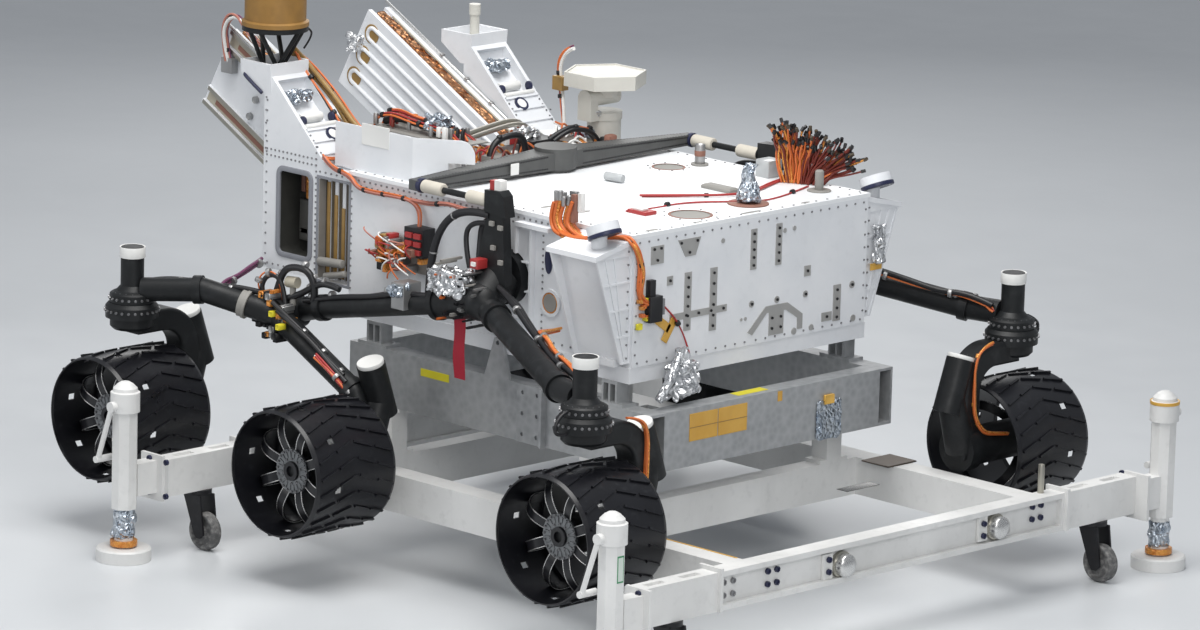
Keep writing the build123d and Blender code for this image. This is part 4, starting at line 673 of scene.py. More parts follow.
# X, first Y and Z, last Y and Z, and number of the fasteners in each row that faces ahead
FRONT_ROWS = ((BODY_FRONT, 0.03, 1.408, 0.60, 1.408, 13), (BODY_FRONT, 0.03, 0.957, 0.60, 0.957, 12),
              (BODY_FRONT, 0.612, 0.99, 0.612, 1.38, 9), (0.706, 0.645, 0.98, 0.645, 1.38, 9))
# Y, lowest and highest Z, and number of the screws in each column of the front pads
PAD_COLUMNS = ((-0.342, 1.065, 1.245, 6), (-0.206, 1.045, 1.245, 6), (0.004, 1.245, 1.365, 5),
               (0.139, 1.245, 1.37, 5), (0.467, 0.985, 1.09, 4))
PAD_SINGLES = ((-0.385, 1.380), (-0.300, 1.380), (-0.340, 1.340), (-0.526, 1.375), (-0.490, 1.375),
               (-0.508, 1.332), (-0.438, 1.246), (0.300, 1.185), (0.413, 0.994), (0.001, 1.098),
               (0.138, 1.097), (0.293, 1.097), (0.549, 1.099), (0.113, 0.99), (0.113, 1.03), (0.160, 0.99),
               (0.160, 1.03))


def body_rivets():
    """Rows of small fasteners along the body's edges, the deck, the towers and the brackets."""
    places = []
    for side in (RIGHT, LEFT):
        skin = side * HALF_BODY
        for x, z, far_x, far_z, count in SIDE_ROWS:
            places += row(at(x, skin, z), at(far_x, skin, far_z), count, LEFTWARD * side)
        for x, y, far_x, far_y, count in DECK_ROWS:
            places += row(at(x, side * y, DECK_TOP), at(far_x, side * far_y, DECK_TOP), count, UP)
        for x, y, z, far_y, far_z, count in FRONT_ROWS:
            places += row(at(x, side * y, z), at(x, side * far_y, far_z), count, AHEAD)
    places += ring(at(*MAST_PORT, DECK_TOP), UP, 0.105, 8, 0.5)
    places += ring(at(*SMALL_PORT, DECK_TOP), UP, 0.080, 10)
    return finished(repeated(cap_screw(0.0042, 0.0028), places), "body_rivets", "screw_steel")


def pad_screws():
    """Screws in the bare pads of the front panel."""
    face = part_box("front_pads")[1].x
    places = []
    for y, low, high, count in PAD_COLUMNS:
        places += row((face, y, low), (face, y, high), count, AHEAD)
    places += row((face, -0.415, 1.104), (face, -0.152, 1.104), 5, AHEAD)
    places += [(Vector((face, y, z)), AHEAD) for y, z in PAD_SINGLES]
    return finished(repeated(cap_screw(0.0055, 0.004), places), "pad_screws", "black_plastic")


def steering_screws():
    """Bolt circles on the steering flanges: the upper stay with the arm, the lower turn with the wheel."""
    for place, side, sign, hub in wheels("front", "rear"):
        flange = hub + UP * STEER_HEIGHT
        upper = ring(flange + UP * 0.034, UP, 0.070, 18) + around(flange + UP * 0.017, 0.086, 22)
        lower = around(flange - UP * 0.030, 0.102, 26, 0.5)
        for level, places, body in (("upper", upper, "rover"), ("lower", lower, arm_body(place, side))):
            screws = repeated(cap_screw(0.0052, 0.006), places)
            finished(screws, f"{level}_flange_screws_{place}_{side}", "screw_steel", body=body)


def wheel_details():
    """Silver hub disc round its open middle, with two circles of bolts."""
    for place, side, sign, centre in wheels(*WHEEL_X):
        out = LEFTWARD * sign
        face = centre + out * 0.105
        body = wheel_body(place, side)
        disc = cylinder(face + out * 0.0002, face + out * 0.005, 0.084, 40)
        stepped(disc, out, (0.008, -0.003), (0.034, 0.0025), (0.004, 0), opened=True)
        finished(disc, f"hub_plate_{place}_{side}", "wheel_silver", body)
        places = ring(face + out * 0.004, out, 0.047, 10, 0.5) + ring(face + out * 0.004, out, 0.078, 20)
        screws = repeated(cap_screw(0.0048, 0.005), places)
        finished(screws, f"hub_screws_{place}_{side}", "screw_steel", body=body)


# Rear towers

RIM_THICK = 0.008
BAY_FROM, BAY_TO = -0.975, -0.808
BAY_X, BAY_MIDDLE = -0.8915, 1.186
# Finish, distance along the window, width, height above the window's middle, and length of each strip inside
WINDOW_GEAR = (("port_brown", -0.058, 0.022, 0.105, 0.080), ("kapton", -0.030, 0.024, 0.095, 0.110),
               ("recess_grey", -0.046, 0.064, -0.045, 0.160), ("port_grey", -0.046, 0.060, -0.086, 0.004),
               ("recess_grey", 0.050, 0.040, 0.0, 0.300))


def rounded_slab(centre, size, corner):
    """A box whose four edges along Y are rounded."""
    slab = cube(centre, size)
    only(slab)
    bpy.ops.object.mode_set(mode="EDIT")
    bpy.ops.mesh.select_mode(type="EDGE")
    bpy.ops.mesh.select_all(action="DESELECT")
    bpy.ops.object.mode_set(mode="OBJECT")
    for edge in slab.data.edges:
        first, second = (slab.data.vertices[index].co for index in edge.vertices)
        edge.select = abs(first.y - second.y) > size[1] * 0.5
    bpy.ops.object.mode_set(mode="EDIT")
    bpy.ops.mesh.bevel(offset=corner, segments=6)
    return settle(slab)


def window_frames():
    """Rounded grey frame round each tower's window, a dark lining of painted shade in its recess, and the
    gear seen inside.
    """
    for side, sign in SIDES:
        out = LEFTWARD * sign
        low, high = at(-1.208, sign * HALF_BODY, 1.046), at(-1.011, sign * HALF_BODY, 1.396)
        middle = (low + high) / 2
        wide, tall = high.x - low.x, high.z - low.z
        rim = rounded_slab(middle + out * 0.002, (wide + 0.006, RIM_THICK, tall + 0.006), 0.036)
        stepped(rim, -out, opened=True)
        pick(rim, lambda centre, normal: normal.dot(out) > 0.9)
        bpy.ops.mesh.inset(thickness=0.020)
        bpy.ops.mesh.extrude_region_move(TRANSFORM_OT_translate={"value": -out * RIM_THICK})
        bpy.ops.mesh.delete(type="FACE")
        settle(rim)
        finished(bevelled(rim, 0.0012), f"window_frame_{side}", "window_rim")
        # A dark sheet over the pocket's white walls: painted shade of the deep recess.
        tub = rounded_slab(middle - out * 0.0585, (wide - 0.003, 0.115, tall - 0.003), 0.031)
        stepped(tub, out, opened=True)
        skin = tub.modifiers.new("skin", "SOLIDIFY")
        skin.thickness = 0.002
        apply_all(tub)
        finished(tub, f"window_shade_lining_{side}", "window_painted_shade")
        deep = middle - out * 0.104
        for index, (look, across, width, lift, height) in enumerate(WINDOW_GEAR):
            strip = cube(deep + Vector((across, 0, lift)), (width, 0.014, height))
            stepped(strip, out, (width * 0.2, 0.004))
            finished(bevelled(strip, 0.002), f"window_gear_{index}_{side}", look)


def bay_slats():
    """Gold printed strips on the slats of each tower's bay, grey sheets of painted shade on its back and
    side wall, and a small roller at the foot.
    """
    for side, sign in SIDES:
        skin = sign * HALF_BODY
        out = LEFTWARD * sign
        step = (BAY_TO - BAY_FROM) / 4
        for index in range(4):
            x = BAY_FROM + step * (index + 0.5)
            groove = cube(at(x - 0.020, skin - sign * 0.0375, BAY_MIDDLE), (0.014, 0.004, 0.380))
            stepped(groove, out, (0.002, -0.0008))
            finished(groove, f"bay_groove_{index}_{side}", "bay_brown")
            top = 1.366 - 0.045 * (index % 3)
            strip = cube(at(x, skin - sign * 0.0335, (1.0 + top) / 2), (0.017, 0.005, top - 1.0))
            stepped(strip, out, (0.002, 0.0015))
            finished(strip, f"bay_strip_{index}_{side}", "slat_gold")
        # Grey sheets over the bay's back and side wall: painted shade of the recessed bay.
        for name, x, deep, wide, thick in (("back", BAY_X, 0.0540, 0.166, 0.002),
                                           ("wall", -0.9740, 0.0275, 0.002, 0.054)):
            sheet = cube(at(x, skin - sign * deep, BAY_MIDDLE), (wide, thick, 0.388))
            pick(sheet, lambda centre, normal: normal.dot(out) > 0.9 or normal.x > 0.9)
            bpy.ops.mesh.inset(thickness=0.0004)
            finished(sheet, f"bay_shade_sheet_{name}_{side}", "bay_painted_shade")
        for index, (start, end) in enumerate((((-0.962, 1.062), (-0.832, 1.070)),
                                              ((-0.930, 1.008), (-0.815, 1.034)))):
            front = skin + sign * 0.004
            roller = cylinder(at(start[0], front, start[1]), at(end[0], front, end[1]),
                              0.017 - 0.004 * index, 20)
            pick(roller, lambda centre, normal: abs(normal.x) > 0.9)
            bpy.ops.mesh.inset(thickness=0.004)
            bpy.ops.transform.resize(value=(1.02, 1, 1))
            settle(roller)
            finished(bevelled(roller, 0.003), f"bay_roller_{index}_{side}", "port_grey")
        border = cube(at(BAY_X, skin + sign * 0.001, BAY_MIDDLE), (0.190, 0.004, 0.415))
        pick(border, lambda centre, normal: abs(normal.y) > 0.9)
        bpy.ops.mesh.inset(thickness=0.011)
        bpy.ops.mesh.bridge_edge_loops()
        settle(border)
        finished(bevelled(border, 0.001), f"bay_frame_{side}", "window_rim")


# Deck

def deck_ports():
    """Brown gasket ring and grey cover in each deck port."""
    for name, spot, radius in (("mast", MAST_PORT, 0.085), ("small", SMALL_PORT, 0.066)):
        centre = at(*spot, DECK_TOP - 0.0035)
        gasket = cylinder(centre, centre + UP * 0.0045, radius - 0.001, 48)
        stepped(gasket, UP, (radius * 0.12, 0), opened=True)
        finished(gasket, f"port_gasket_{name}", "port_brown")
        cover = cylinder(centre, centre + UP * 0.003, radius * 0.88, 48)
        stepped(cover, UP, (radius * 0.05, -0.001))
        finished(cover, f"port_cover_{name}", "port_grey")


def crumpled(piece, look, name, strength, body="rover"):
    """Crumples a piece by moving its points along their normals over a field of folds."""
    only(piece)
    split = piece.modifiers.new("fine", "SUBSURF")
    split.levels = split.render_levels = 2
    field = bpy.data.textures.new(name, "VORONOI")
    field.noise_scale = FOLD_SIZE
    field.distance_metric = "DISTANCE"
    field.weight_1, field.weight_2 = -1, 1
    push = piece.modifiers.new("crumple", "DISPLACE")
    push.texture = field
    push.strength = strength * FOLD_HEIGHT
    push.mid_level = FOLD_MIDDLE
    push.texture_coords = "LOCAL"
    apply_all(piece)
    return finished(piece, name, look, body=body, angle=25)


def foil_cone():
    """Foil wrapped round a deck fitting, pinched at its top, on a brown ring."""
    base = at(0.574, 0.119, DECK_TOP)
    bpy.ops.mesh.primitive_cone_add(vertices=18, radius1=0.058, radius2=0.024, depth=0.120,
                                    location=base + UP * 0.061)
    cone = settle(bpy.context.object)
    pick(cone, lambda centre, normal: normal.z > 0.9)
    bpy.ops.mesh.extrude_region_move(TRANSFORM_OT_translate={"value": (0.012, 0.006, 0.040)})
    bpy.ops.transform.resize(value=(1.7, 0.5, 1), center_override=base + Vector((0.012, 0.006, 0.161)))
    settle(cone)
    pick(cone, lambda centre, normal: abs(normal.z) < 0.8)
    bpy.ops.mesh.subdivide(number_cuts=2)
    crumpled(settle(cone), "blue_foil", "foil_cone", 0.016)
    collar = cylinder(base, base + UP * 0.005, 0.079, 40)
    finished(bevelled(collar, 0.002), "foil_cone_ring", "port_brown")


def connector_fan():
    """A spray of orange leads standing up from the deck's left edge, each with a dark connector."""
    draw = random.Random(31)
    count = 130
    side, depth = Vector((0.72, 0.69, 0)), Vector((0.69, -0.72, 0))
    plugs = {"black_plastic": [], "bay_brown": []}
    strands = {"wire_orange": [], "kapton": [], "wire_maroon": []}
    for index in range(count):
        share = (index + draw.random()) / count
        start = at(0.375 + 0.130 * share, 0.530 + 0.065 * share + draw.uniform(-0.025, 0.025),
                   DECK_TOP + 0.002)
        lean = -0.050 + 0.190 * share ** 1.4 + draw.uniform(-0.022, 0.030)
        reach = draw.uniform(0.150, 0.228) - 0.100 * share ** 2
        curl = draw.uniform(-0.022, 0.022)
        sway = draw.uniform(-0.045, 0.045)
        knee = start + side * (lean * 0.25 + curl) + UP * (reach * 0.40)
        upper = start + side * (lean * 0.65 - curl) + depth * sway * 0.6 + UP * (reach * 0.75)
        tip = start + side * lean + depth * sway + UP * reach
        name = ("wire_orange", "kapton", "wire_orange", "wire_maroon")[index % 4]
        if share > 0.50 and index % 5:
            name = "wire_maroon"
        strands[name].append((start, knee, upper, tip))
        turn = (tip - upper).normalized() + side * draw.uniform(-0.6, 0.6) + depth * draw.uniform(-0.5, 0.5)
        plugs["black_plastic" if index % 5 else "bay_brown"].append((tip, turn.normalized()))
    for name, lines in strands.items():
        wires(f"deck_leads_{name}", lines, 0.0038, name, steps=4)
    for name, places in plugs.items():
        plug = cylinder((0, 0, -0.005), (0, 0, 0.013), 0.0066, 8)
        stepped(plug, UP, (0.0015, -0.003))
        finished(repeated(plug, places), f"deck_lead_plugs_{name}", name)


# X, Y, Z, width, height and finish of each block behind the bundle
CAP_BLOCKS = ((0.352, -0.676, 1.512, 0.040, 0.040, "clip_silver"),
              (0.440, -0.684, 1.450, 0.020, 0.105, "port_brown"),
              (0.462, -0.670, 1.492, 0.018, 0.070, "label_white"),
              (0.408, -0.660, 1.530, 0.032, 0.030, "clip_silver"))


def cap_bundle():
    """The thick orange leads that stand up behind the right bracket, with plain metal plugs on top."""
    draw = random.Random(12)
    lines = {"wire_orange": [], "kapton": []}
    plugs = []
    count = 16
    for index in range(count):
        share = index / (count - 1)
        x = 0.345 + 0.092 * share
        y = -0.664 + draw.uniform(-0.024, 0.020)
        top = 1.515 + draw.uniform(-0.015, 0.020)
        foot = x + 0.030 + 0.055 * share
        line = [at(foot + 0.030, y - 0.020, 1.403), at(foot - 0.010, y - 0.010, 1.404),
                at(x - 0.006, y, 1.430), at(x - 0.010, y, 1.470), at(x + 0.004 + 0.010 * share, y, top)]
        name = "kapton" if index % 4 == 2 else "wire_orange"
        lines[name].append(line)
        plugs.append((line[-1], (draw.uniform(-0.15, 0.25), draw.uniform(-0.2, 0.2), 1)))
    for name, paths in lines.items():
        wires(f"cap_leads_{name}", paths, 0.0072, name)
    plug = cylinder((0, 0, -0.006), (0, 0, 0.030), 0.0095, 12)
    stepped(plug, UP, (0.002, -0.004))
    finished(repeated(bevelled(plug, 0.001), plugs[::2]), "cap_plugs", "clip_silver")
    for index, (x, y, z, wide, high, look) in enumerate(CAP_BLOCKS):
        case(f"cap_block_{index}", (x, y, z), (x + wide, y + 0.022, z + high), look, RIGHTWARD, 0.003)


def deck_boxes():
    """Small equipment on the deck: clear box, posts, low cover, red block and tool."""
    case("clear_box", (0.224, 0.5225, DECK_TOP), (0.294, 0.5975, DECK_TOP + 0.068), "clear_film", UP, 0.006,
         0.008, soft=0.003)
    post = at(0.573, 0.507, DECK_TOP)
    round_piece("deck_post", post, post + UP * 0.075, 0.017, "port_grey", 0.004, -0.006, sides=28)
    foot = cylinder(post, post + UP * 0.005, 0.046, 36)
    finished(bevelled(foot, 0.0015), "deck_post_foot", "port_grey")
    case("deck_low_cover", (0.253, 0.1955, DECK_TOP), (0.403, 0.2505, DECK_TOP + 0.012), "port_grey", UP,
         0.010, -0.006, soft=0.002)
    case("deck_red_block", (0.405, -0.352, DECK_TOP), (0.500, -0.292, DECK_TOP + 0.014), "wire_red", UP,
         0.008)
    case("deck_red_lid", (0.420, -0.340, DECK_TOP + 0.012), (0.470, -0.305, DECK_TOP + 0.020),
         "label_white", UP)
    stub = at(-0.055, 0.507, DECK_TOP)
    round_piece("deck_stub_foot", stub, stub + UP * 0.008, 0.034, "port_grey", 0.006, 0.001)
    round_piece("deck_stub", stub, stub + UP * 0.082, 0.020, "clip_silver", 0.005, 0.008)
    round_piece("deck_stub_band", stub + UP * 0.036, stub + UP * 0.058, 0.0212, "port_brown")
    tool = cylinder(at(-0.065, 0.006, DECK_TOP + 0.018), at(0.015, 0.020, DECK_TOP + 0.018), 0.016, 20)
    finished(bevelled(tool, 0.003), "deck_tool", "clear_film")


# Small things set on the rover

def case(name, low, high, look, face=None, inset=0.004, sunk=0.0015, soft=0.0015):
    """A box between two corners, with one face inset and stepped, and its edges rounded."""
    low, high = at(*low), at(*high)
    size = Vector([abs(value) for value in high - low])
    piece = cube((low + high) / 2, size)
    if face is not None:
        stepped(piece, face, (inset, -sunk))
    return finished(bevelled(piece, min(soft, min(size) * 0.3)), name, look)


def blocks(name, boxes, face):
    """Small fittings: one stepped block for each finish, copied to its places and sizes and joined."""
    moves = {}
    for low, high, look in boxes:
        low, high = at(*low), at(*high)
        size = [abs(value) for value in high - low] + [1]
        moves.setdefault(look, []).append(Matrix.Translation((low + high) / 2) @ Matrix.Diagonal(size))
    for look, places in moves.items():
        model = bevelled(stepped(cube((0, 0, 0), (1, 1, 1)), face, (0.16, -0.07)), 0.07, 1)
        finished(copied(model, places), f"{name}_{look}", look)


def leads(name, lines, radius):
    """Single loose-looking but fixed leads, gathered by their finish."""
    runs = {}
    for look, points in lines:
        runs.setdefault(look, []).append([at(*point) for point in points])
    for look, paths in runs.items():
        wires(f"{name}_{look}", paths, radius, look)


def harness(name, points, strands, clips=(), body="rover", clip_radius=0.011, clip="black_plastic"):
    """Strands tied side by side along a path, with a clip at the middle of the chosen runs."""
    path = [at(*point) for point in points]
    draw = random.Random(name)
    for look, radius, count in strands:
        lines = []
        for index in range(count):
            drift = Vector([draw.uniform(-1, 1) * radius * 1.6 for axis in range(3)])
            lines.append([point + drift + Vector([draw.uniform(-1, 1) * radius * 0.7 for axis in range(3)])
                          for point in path])
        wires(f"{name}_{look}", lines, radius, look, body=body)
    if clips:
        sleeve = cylinder((0, 0, -0.008), (0, 0, 0.008), clip_radius, 14)
        places = [((path[index] + path[index + 1]) / 2, (path[index + 1] - path[index]).normalized())
                  for index in clips]
        finished(repeated(bevelled(sleeve, 0.002), places), f"{name}_clips", clip, body)


def clump(name, low, high, look="silver_foil", strength=0.02, body="rover"):
    """Crumpled film round a fitting, grown from a subdivided box."""
    low, high = at(*low), at(*high)
    piece = cube((low + high) / 2, Vector([abs(value) for value in high - low]))
    return crumpled(divided(piece, 3), look, name, strength, body)


def four(centre, reach=0.024):
    """Four places in a square on a face that looks ahead, for a bolted joint."""
    return [(centre + LEFTWARD * (reach * across) + UP * (reach * rise), AHEAD)
            for across in (-1, 1) for rise in (-1, 1)]


def round_piece(name, start, end, radius, look, rim=0.0, sunk=0.0, soft=0.0015,
                body="rover", sides=32):
    """A turned piece: a bar whose far end is inset and stepped, with rounded edges."""
    piece = stepped(cylinder(start, end, radius, sides), (end - start).normalized(),
                    (rim or radius * 0.2, -sunk))
    return finished(bevelled(piece, soft), name, look, body)


# Harnesses: name, points, strands as finish, radius and number, and the runs that carry a clip

SIDE_PATHS = (
    ("side_harness", ((-0.932, -0.643, 1.475), (-0.889, -0.643, 1.437), (-0.789, -0.643, 1.429),
                      (-0.743, -0.643, 1.384), (-0.666, -0.643, 1.380), (-0.534, -0.643, 1.385),
                      (-0.440, -0.643, 1.383), (-0.392, -0.643, 1.345), (-0.390, -0.655, 1.290)),
     (("wire_orange", 0.0038, 2), ("wire_pink", 0.0040, 4)), (1, 3, 4, 5)),
    ("side_harness_front", ((-0.450, -0.643, 1.383), (-0.351, -0.643, 1.383), (-0.260, -0.643, 1.402),
                            (-0.165, -0.643, 1.396), (-0.060, -0.643, 1.392), (0.030, -0.660, 1.380)),
     (("wire_pink", 0.0034, 3),), (1, 3)),
    ("tower_wire", ((-1.305, -0.446, 1.800), (-1.262, -0.446, 1.750), (-1.185, -0.444, 1.682),
                    (-1.138, -0.444, 1.640), (-1.050, -0.444, 1.556), (-0.985, -0.444, 1.492),
                    (-0.945, -0.500, 1.455), (-0.938, -0.600, 1.458), (-0.932, -0.640, 1.470)),
     (("wire_orange", 0.0040, 2), ("black_plastic", 0.0036, 1)), (1, 3, 5)),
    ("tower_bundle", ((-1.367, -0.410, 1.800), (-1.292, -0.405, 1.760), (-1.200, -0.405, 1.700),
                      (-1.110, -0.405, 1.640), (-1.030, -0.400, 1.560), (-0.960, -0.395, 1.520),
                      (-0.880, -0.420, 1.470)), (("slat_gold", 0.0095, 3), ("wire_orange", 0.0045, 3)),
     (1, 2, 4)),
)
ARM_PATHS = (
    ("front_arm_hose", ((0.150, -0.765, 1.165), (0.256, -0.800, 1.137), (0.366, -0.842, 1.098),
                        (0.460, -0.880, 1.064), (0.560, -0.925, 1.040), (0.680, -0.985, 1.012),
                        (0.790, -1.035, 1.004), (0.900, -1.075, 0.985)), (("black_plastic", 0.012, 2),),
     (1, 3, 5)),
    ("front_arm_wires", ((0.417, -0.700, 1.043), (0.435, -0.800, 1.050), (0.479, -0.866, 1.066),
                         (0.563, -0.905, 1.058), (0.640, -0.950, 1.032), (0.730, -0.985, 1.022),
                         (0.800, -1.010, 1.010), (0.905, -1.060, 0.975)),
     (("wire_orange", 0.0050, 4), ("kapton", 0.0060, 1)), (2, 4)),
    ("rear_arm_hose", ((-0.200, -0.782, 1.090), (-0.330, -0.790, 1.082), (-0.480, -0.796, 1.045),
                       (-0.640, -0.800, 1.008), (-0.760, -0.806, 0.985), (-0.850, -0.812, 0.965)),
     (("black_plastic", 0.011, 2),), (1, 3, 4)),
    ("bogie_hose", ((-0.965, -0.860, 0.945), (-0.958, -0.850, 1.010), (-0.922, -0.832, 1.080),
                    (-0.862, -0.824, 1.104), (-0.802, -0.820, 1.080), (-0.778, -0.815, 1.025),
                    (-0.795, -0.815, 0.985)), (("black_plastic", 0.014, 1),), (1, 3, 4)),
    ("bogie_second_hose", ((-0.975, -0.880, 0.930), (-1.020, -0.900, 0.985), (-1.000, -0.890, 1.045),
                           (-0.950, -0.870, 1.052), (-0.915, -0.865, 1.000), (-0.900, -0.870, 0.950)),
     (("black_plastic", 0.010, 1), ("wire_orange", 0.0035, 1)), (1, 2)),
    ("rear_top_hose", ((-0.640, -0.800, 1.030), (-0.700, -0.806, 1.052), (-0.770, -0.812, 1.035),
                       (-0.840, -0.822, 0.985), (-0.900, -0.845, 0.960)), (("black_plastic", 0.013, 1),),
     (1, 2)),
    ("rear_tube_hose", ((-0.980, -0.880, 0.950), (-1.060, -0.930, 0.968), (-1.150, -0.975, 0.975),
                        (-1.240, -1.015, 0.985), (-1.330, -1.080, 0.985), (-1.395, -1.120, 0.965)),
     (("black_plastic", 0.012, 1), ("label_white", 0.0045, 1)), (1, 2, 3, 4)),
    ("middle_arm_hose", ((-0.900, -0.900, 0.930), (-0.800, -0.905, 0.885), (-0.690, -0.905, 0.830),
                         (-0.580, -0.905, 0.770), (-0.500, -0.905, 0.715)),
     (("black_plastic", 0.010, 2), ("hose_tan", 0.0040, 1)), (1, 2, 3)),
    ("middle_arm_wires", ((-0.640, -0.935, 0.790), (-0.560, -0.940, 0.752), (-0.500, -0.930, 0.705),
                          (-0.455, -0.912, 0.650), (-0.430, -0.880, 0.615)),
     (("wire_orange", 0.0045, 3), ("label_white", 0.0035, 2), ("wire_red", 0.0045, 2)), (1, 2)),
    ("purple_harness", ((-1.266, -0.640, 1.015), (-1.225, -0.720, 1.005), (-1.190, -0.830, 0.985),
                        (-1.165, -0.925, 0.975), (-1.150, -0.960, 0.960)), (("wire_purple", 0.0065, 3),),
     (0, 2)),
    ("left_arm_wires", ((0.760, 1.028, 1.010), (0.850, 1.062, 1.010), (0.905, 1.078, 1.000),
                        (0.955, 1.090, 0.960)), (("wire_orange", 0.0045, 4), ("wire_red", 0.0040, 1)),
     (0, 1)),
    ("left_arm_hose", ((0.500, 0.880, 1.072), (0.620, 0.940, 1.042), (0.740, 1.000, 1.016),
                       (0.850, 1.045, 1.010), (0.930, 1.075, 0.985)),
     (("black_plastic", 0.012, 1), ("wire_orange", 0.0040, 1)), (0, 2)),
)
KNUCKLE_LEADS = ((1.052, 0.985, 0.872), (1.056, 0.915, 0.862), (1.057, 0.884, 0.800), (1.057, 0.884, 0.690),
                 (1.057, 0.888, 0.600), (1.062, 0.935, 0.530), (1.066, 1.000, 0.520), (1.072, 1.070, 0.512))
FLANGE_LOOP = ((1.245, 0.850), (1.290, 0.850), (1.300, 0.890), (1.262, 0.925), (1.235, 0.930))
# Radius and points of each thick hose on the left side; the right side mirrors them
UPRIGHT_HOSES = (
    (0.015, ((0.080, 0.742, 1.424), (-0.040, 0.745, 1.432), (-0.150, 0.762, 1.366), (-0.196, 0.780, 1.220),
             (-0.198, 0.782, 1.072))),
    (0.010, ((0.080, 0.739, 1.392), (-0.034, 0.743, 1.392), (-0.038, 0.756, 1.280), (0.040, 0.776, 1.140))),
    (0.016, ((0.080, 0.706, 1.400), (0.010, 0.706, 1.400), (0.014, 0.724, 1.290), (0.050, 0.766, 1.150))),
)
RED_CABLE = ((0.236, -0.114), (0.330, 0.010), (0.449, 0.161), (0.445, 0.250), (0.423, 0.338),
             (0.370, 0.460), (0.335, 0.582))
DECK_PATHS = (
    ("deck_red_cable", tuple((x, y, 1.4455) for x, y in RED_CABLE), (("wire_red", 0.0045, 2),), (1, 3)),
    ("deck_red_cable_front", ((0.403, -0.356, 1.4455), (0.419, -0.246, 1.4455), (0.414, -0.057, 1.4455),
                              (0.556, 0.126, 1.4455), (0.589, 0.260, 1.4455), (0.498, 0.525, 1.4455)),
     (("wire_red", 0.0035, 1),), (1, 4)),
    ("deck_edge_harness", ((0.332, -0.640, 1.430), (0.380, -0.690, 1.408), (0.470, -0.715, 1.398),
                           (0.560, -0.700, 1.403), (0.640, -0.655, 1.420), (0.695, -0.640, 1.425),
                           (0.728, -0.640, 1.405), (0.735, -0.614, 1.360), (0.735, -0.599, 1.300),
                           (0.732, -0.612, 1.240), (0.730, -0.600, 1.190), (0.732, -0.560, 1.175)),
     (("wire_orange", 0.0060, 4), ("kapton", 0.0060, 1)), (2, 5, 7, 8)),
    ("front_red_leads", ((0.730, -0.480, 1.160), (0.733, -0.430, 1.118), (0.733, -0.380, 1.050),
                         (0.735, -0.350, 0.985), (0.760, -0.365, 0.962)), (("wire_red", 0.0030, 2),), (1,)),
    ("high_gain_wires", ((-0.787, 0.452, 1.500), (-0.750, 0.452, 1.496), (-0.670, 0.452, 1.482),
                         (-0.580, 0.452, 1.478)), (("wire_orange", 0.0040, 4), ("label_white", 0.0030, 1)),
     (1,)),
    ("can_cable", ((-1.300, -0.454, 1.925), (-1.270, -0.420, 1.902), (-1.268, -0.400, 1.870),
                   (-1.290, -0.425, 1.815)), (("black_plastic", 0.0040, 1),), ()),
    ("panel_leads", ((-1.700, -0.440, 1.700), (-1.720, -0.445, 1.800), (-1.700, -0.450, 1.880),
                     (-1.640, -0.455, 1.900), (-1.580, -0.460, 1.850), (-1.500, -0.470, 1.800),
                     (-1.430, -0.480, 1.795)),
     (("wire_pink", 0.0050, 4), ("label_white", 0.0070, 1), ("wire_purple", 0.0050, 2)), (0, 2, 4)),
    ("rear_arch", ((-0.500, -0.190, 1.490), (-0.498, -0.170, 1.545), (-0.490, -0.110, 1.568),
                   (-0.480, -0.050, 1.560), (-0.470, -0.020, 1.500), (-0.465, -0.010, 1.446)),
     (("black_plastic", 0.013, 1),), (1, 3)),
    ("rear_arch_far", ((-0.520, 0.190, 1.505), (-0.505, 0.240, 1.545), (-0.495, 0.310, 1.550),
                       (-0.490, 0.380, 1.520), (-0.480, 0.420, 1.446)),
     (("black_plastic", 0.010, 2), ("wire_orange", 0.0040, 1)), (1, 2)),
    ("antenna_leads", ((-0.700, 0.420, 1.445), (-0.745, 0.440, 1.560), (-0.768, 0.450, 1.660),
                       (-0.778, 0.450, 1.740), (-0.740, 0.450, 1.800), (-0.700, 0.450, 1.815)),
     (("label_white", 0.0075, 1), ("wire_purple", 0.0045, 3), ("wire_orange", 0.0040, 2)), (1, 2)),
)


def upright_hoses():
    """The thick hoses round both uprights, on one smooth curve each, which stand for their solids."""
    runs = []
    for radius, points in UPRIGHT_HOSES:
        lines = [[at(x, sign * y, z) for x, y, z in points] for side, sign in SIDES]
        runs.append(tubes("upright_hose", lines, radius, 10))
    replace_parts(finished(joined(runs), "upright_hoses", "hose_black", angle=60), "arm_hoses")
    for side, sign in SIDES:
        ties = []
        for x, y, z in ((-0.184, 0.774, 1.245), (-0.193, 0.779, 1.180), (-0.100, 0.753, 1.396)):
            ties.append((at(x, sign * y, z), Vector((0.1, 0, 1)) if z < 1.3 else Vector((1, 0, 0.5))))
        tie = cylinder((0, 0, -0.003), (0, 0, 0.003), 0.0165, 20)
        finished(repeated(bevelled(tie, 0.001), ties), f"hose_ties_{side}", "clip_silver")


def harnesses():
    """Every tied run of wires and hoses, and the knuckles' own leads that turn with the wheels."""
    for name, points, strands, clips in SIDE_PATHS + DECK_PATHS:
        harness(name, points, strands, clips)
    for name, points, strands, clips in ARM_PATHS:
        harness(name, points, strands, clips, "rover", 0.017, "clip_silver")
    for side, sign in SIDES:
        harness(f"knuckle_leads_{side}", [(x, sign * y, z) for x, y, z in KNUCKLE_LEADS],
                (("wire_orange", 0.0042, 3), ("kapton", 0.0040, 1)), (1, 3, 4), arm_body("front", side),
                0.009, "kapton")
        harness(f"flange_loop_{side}", [(1.0, sign * y, z) for y, z in FLANGE_LOOP],
                (("black_plastic", 0.0065, 1),), (1,), "rover", 0.010)


LEAD_COLOURS = ("wire_orange", "label_white", "wire_red", "wire_pink")


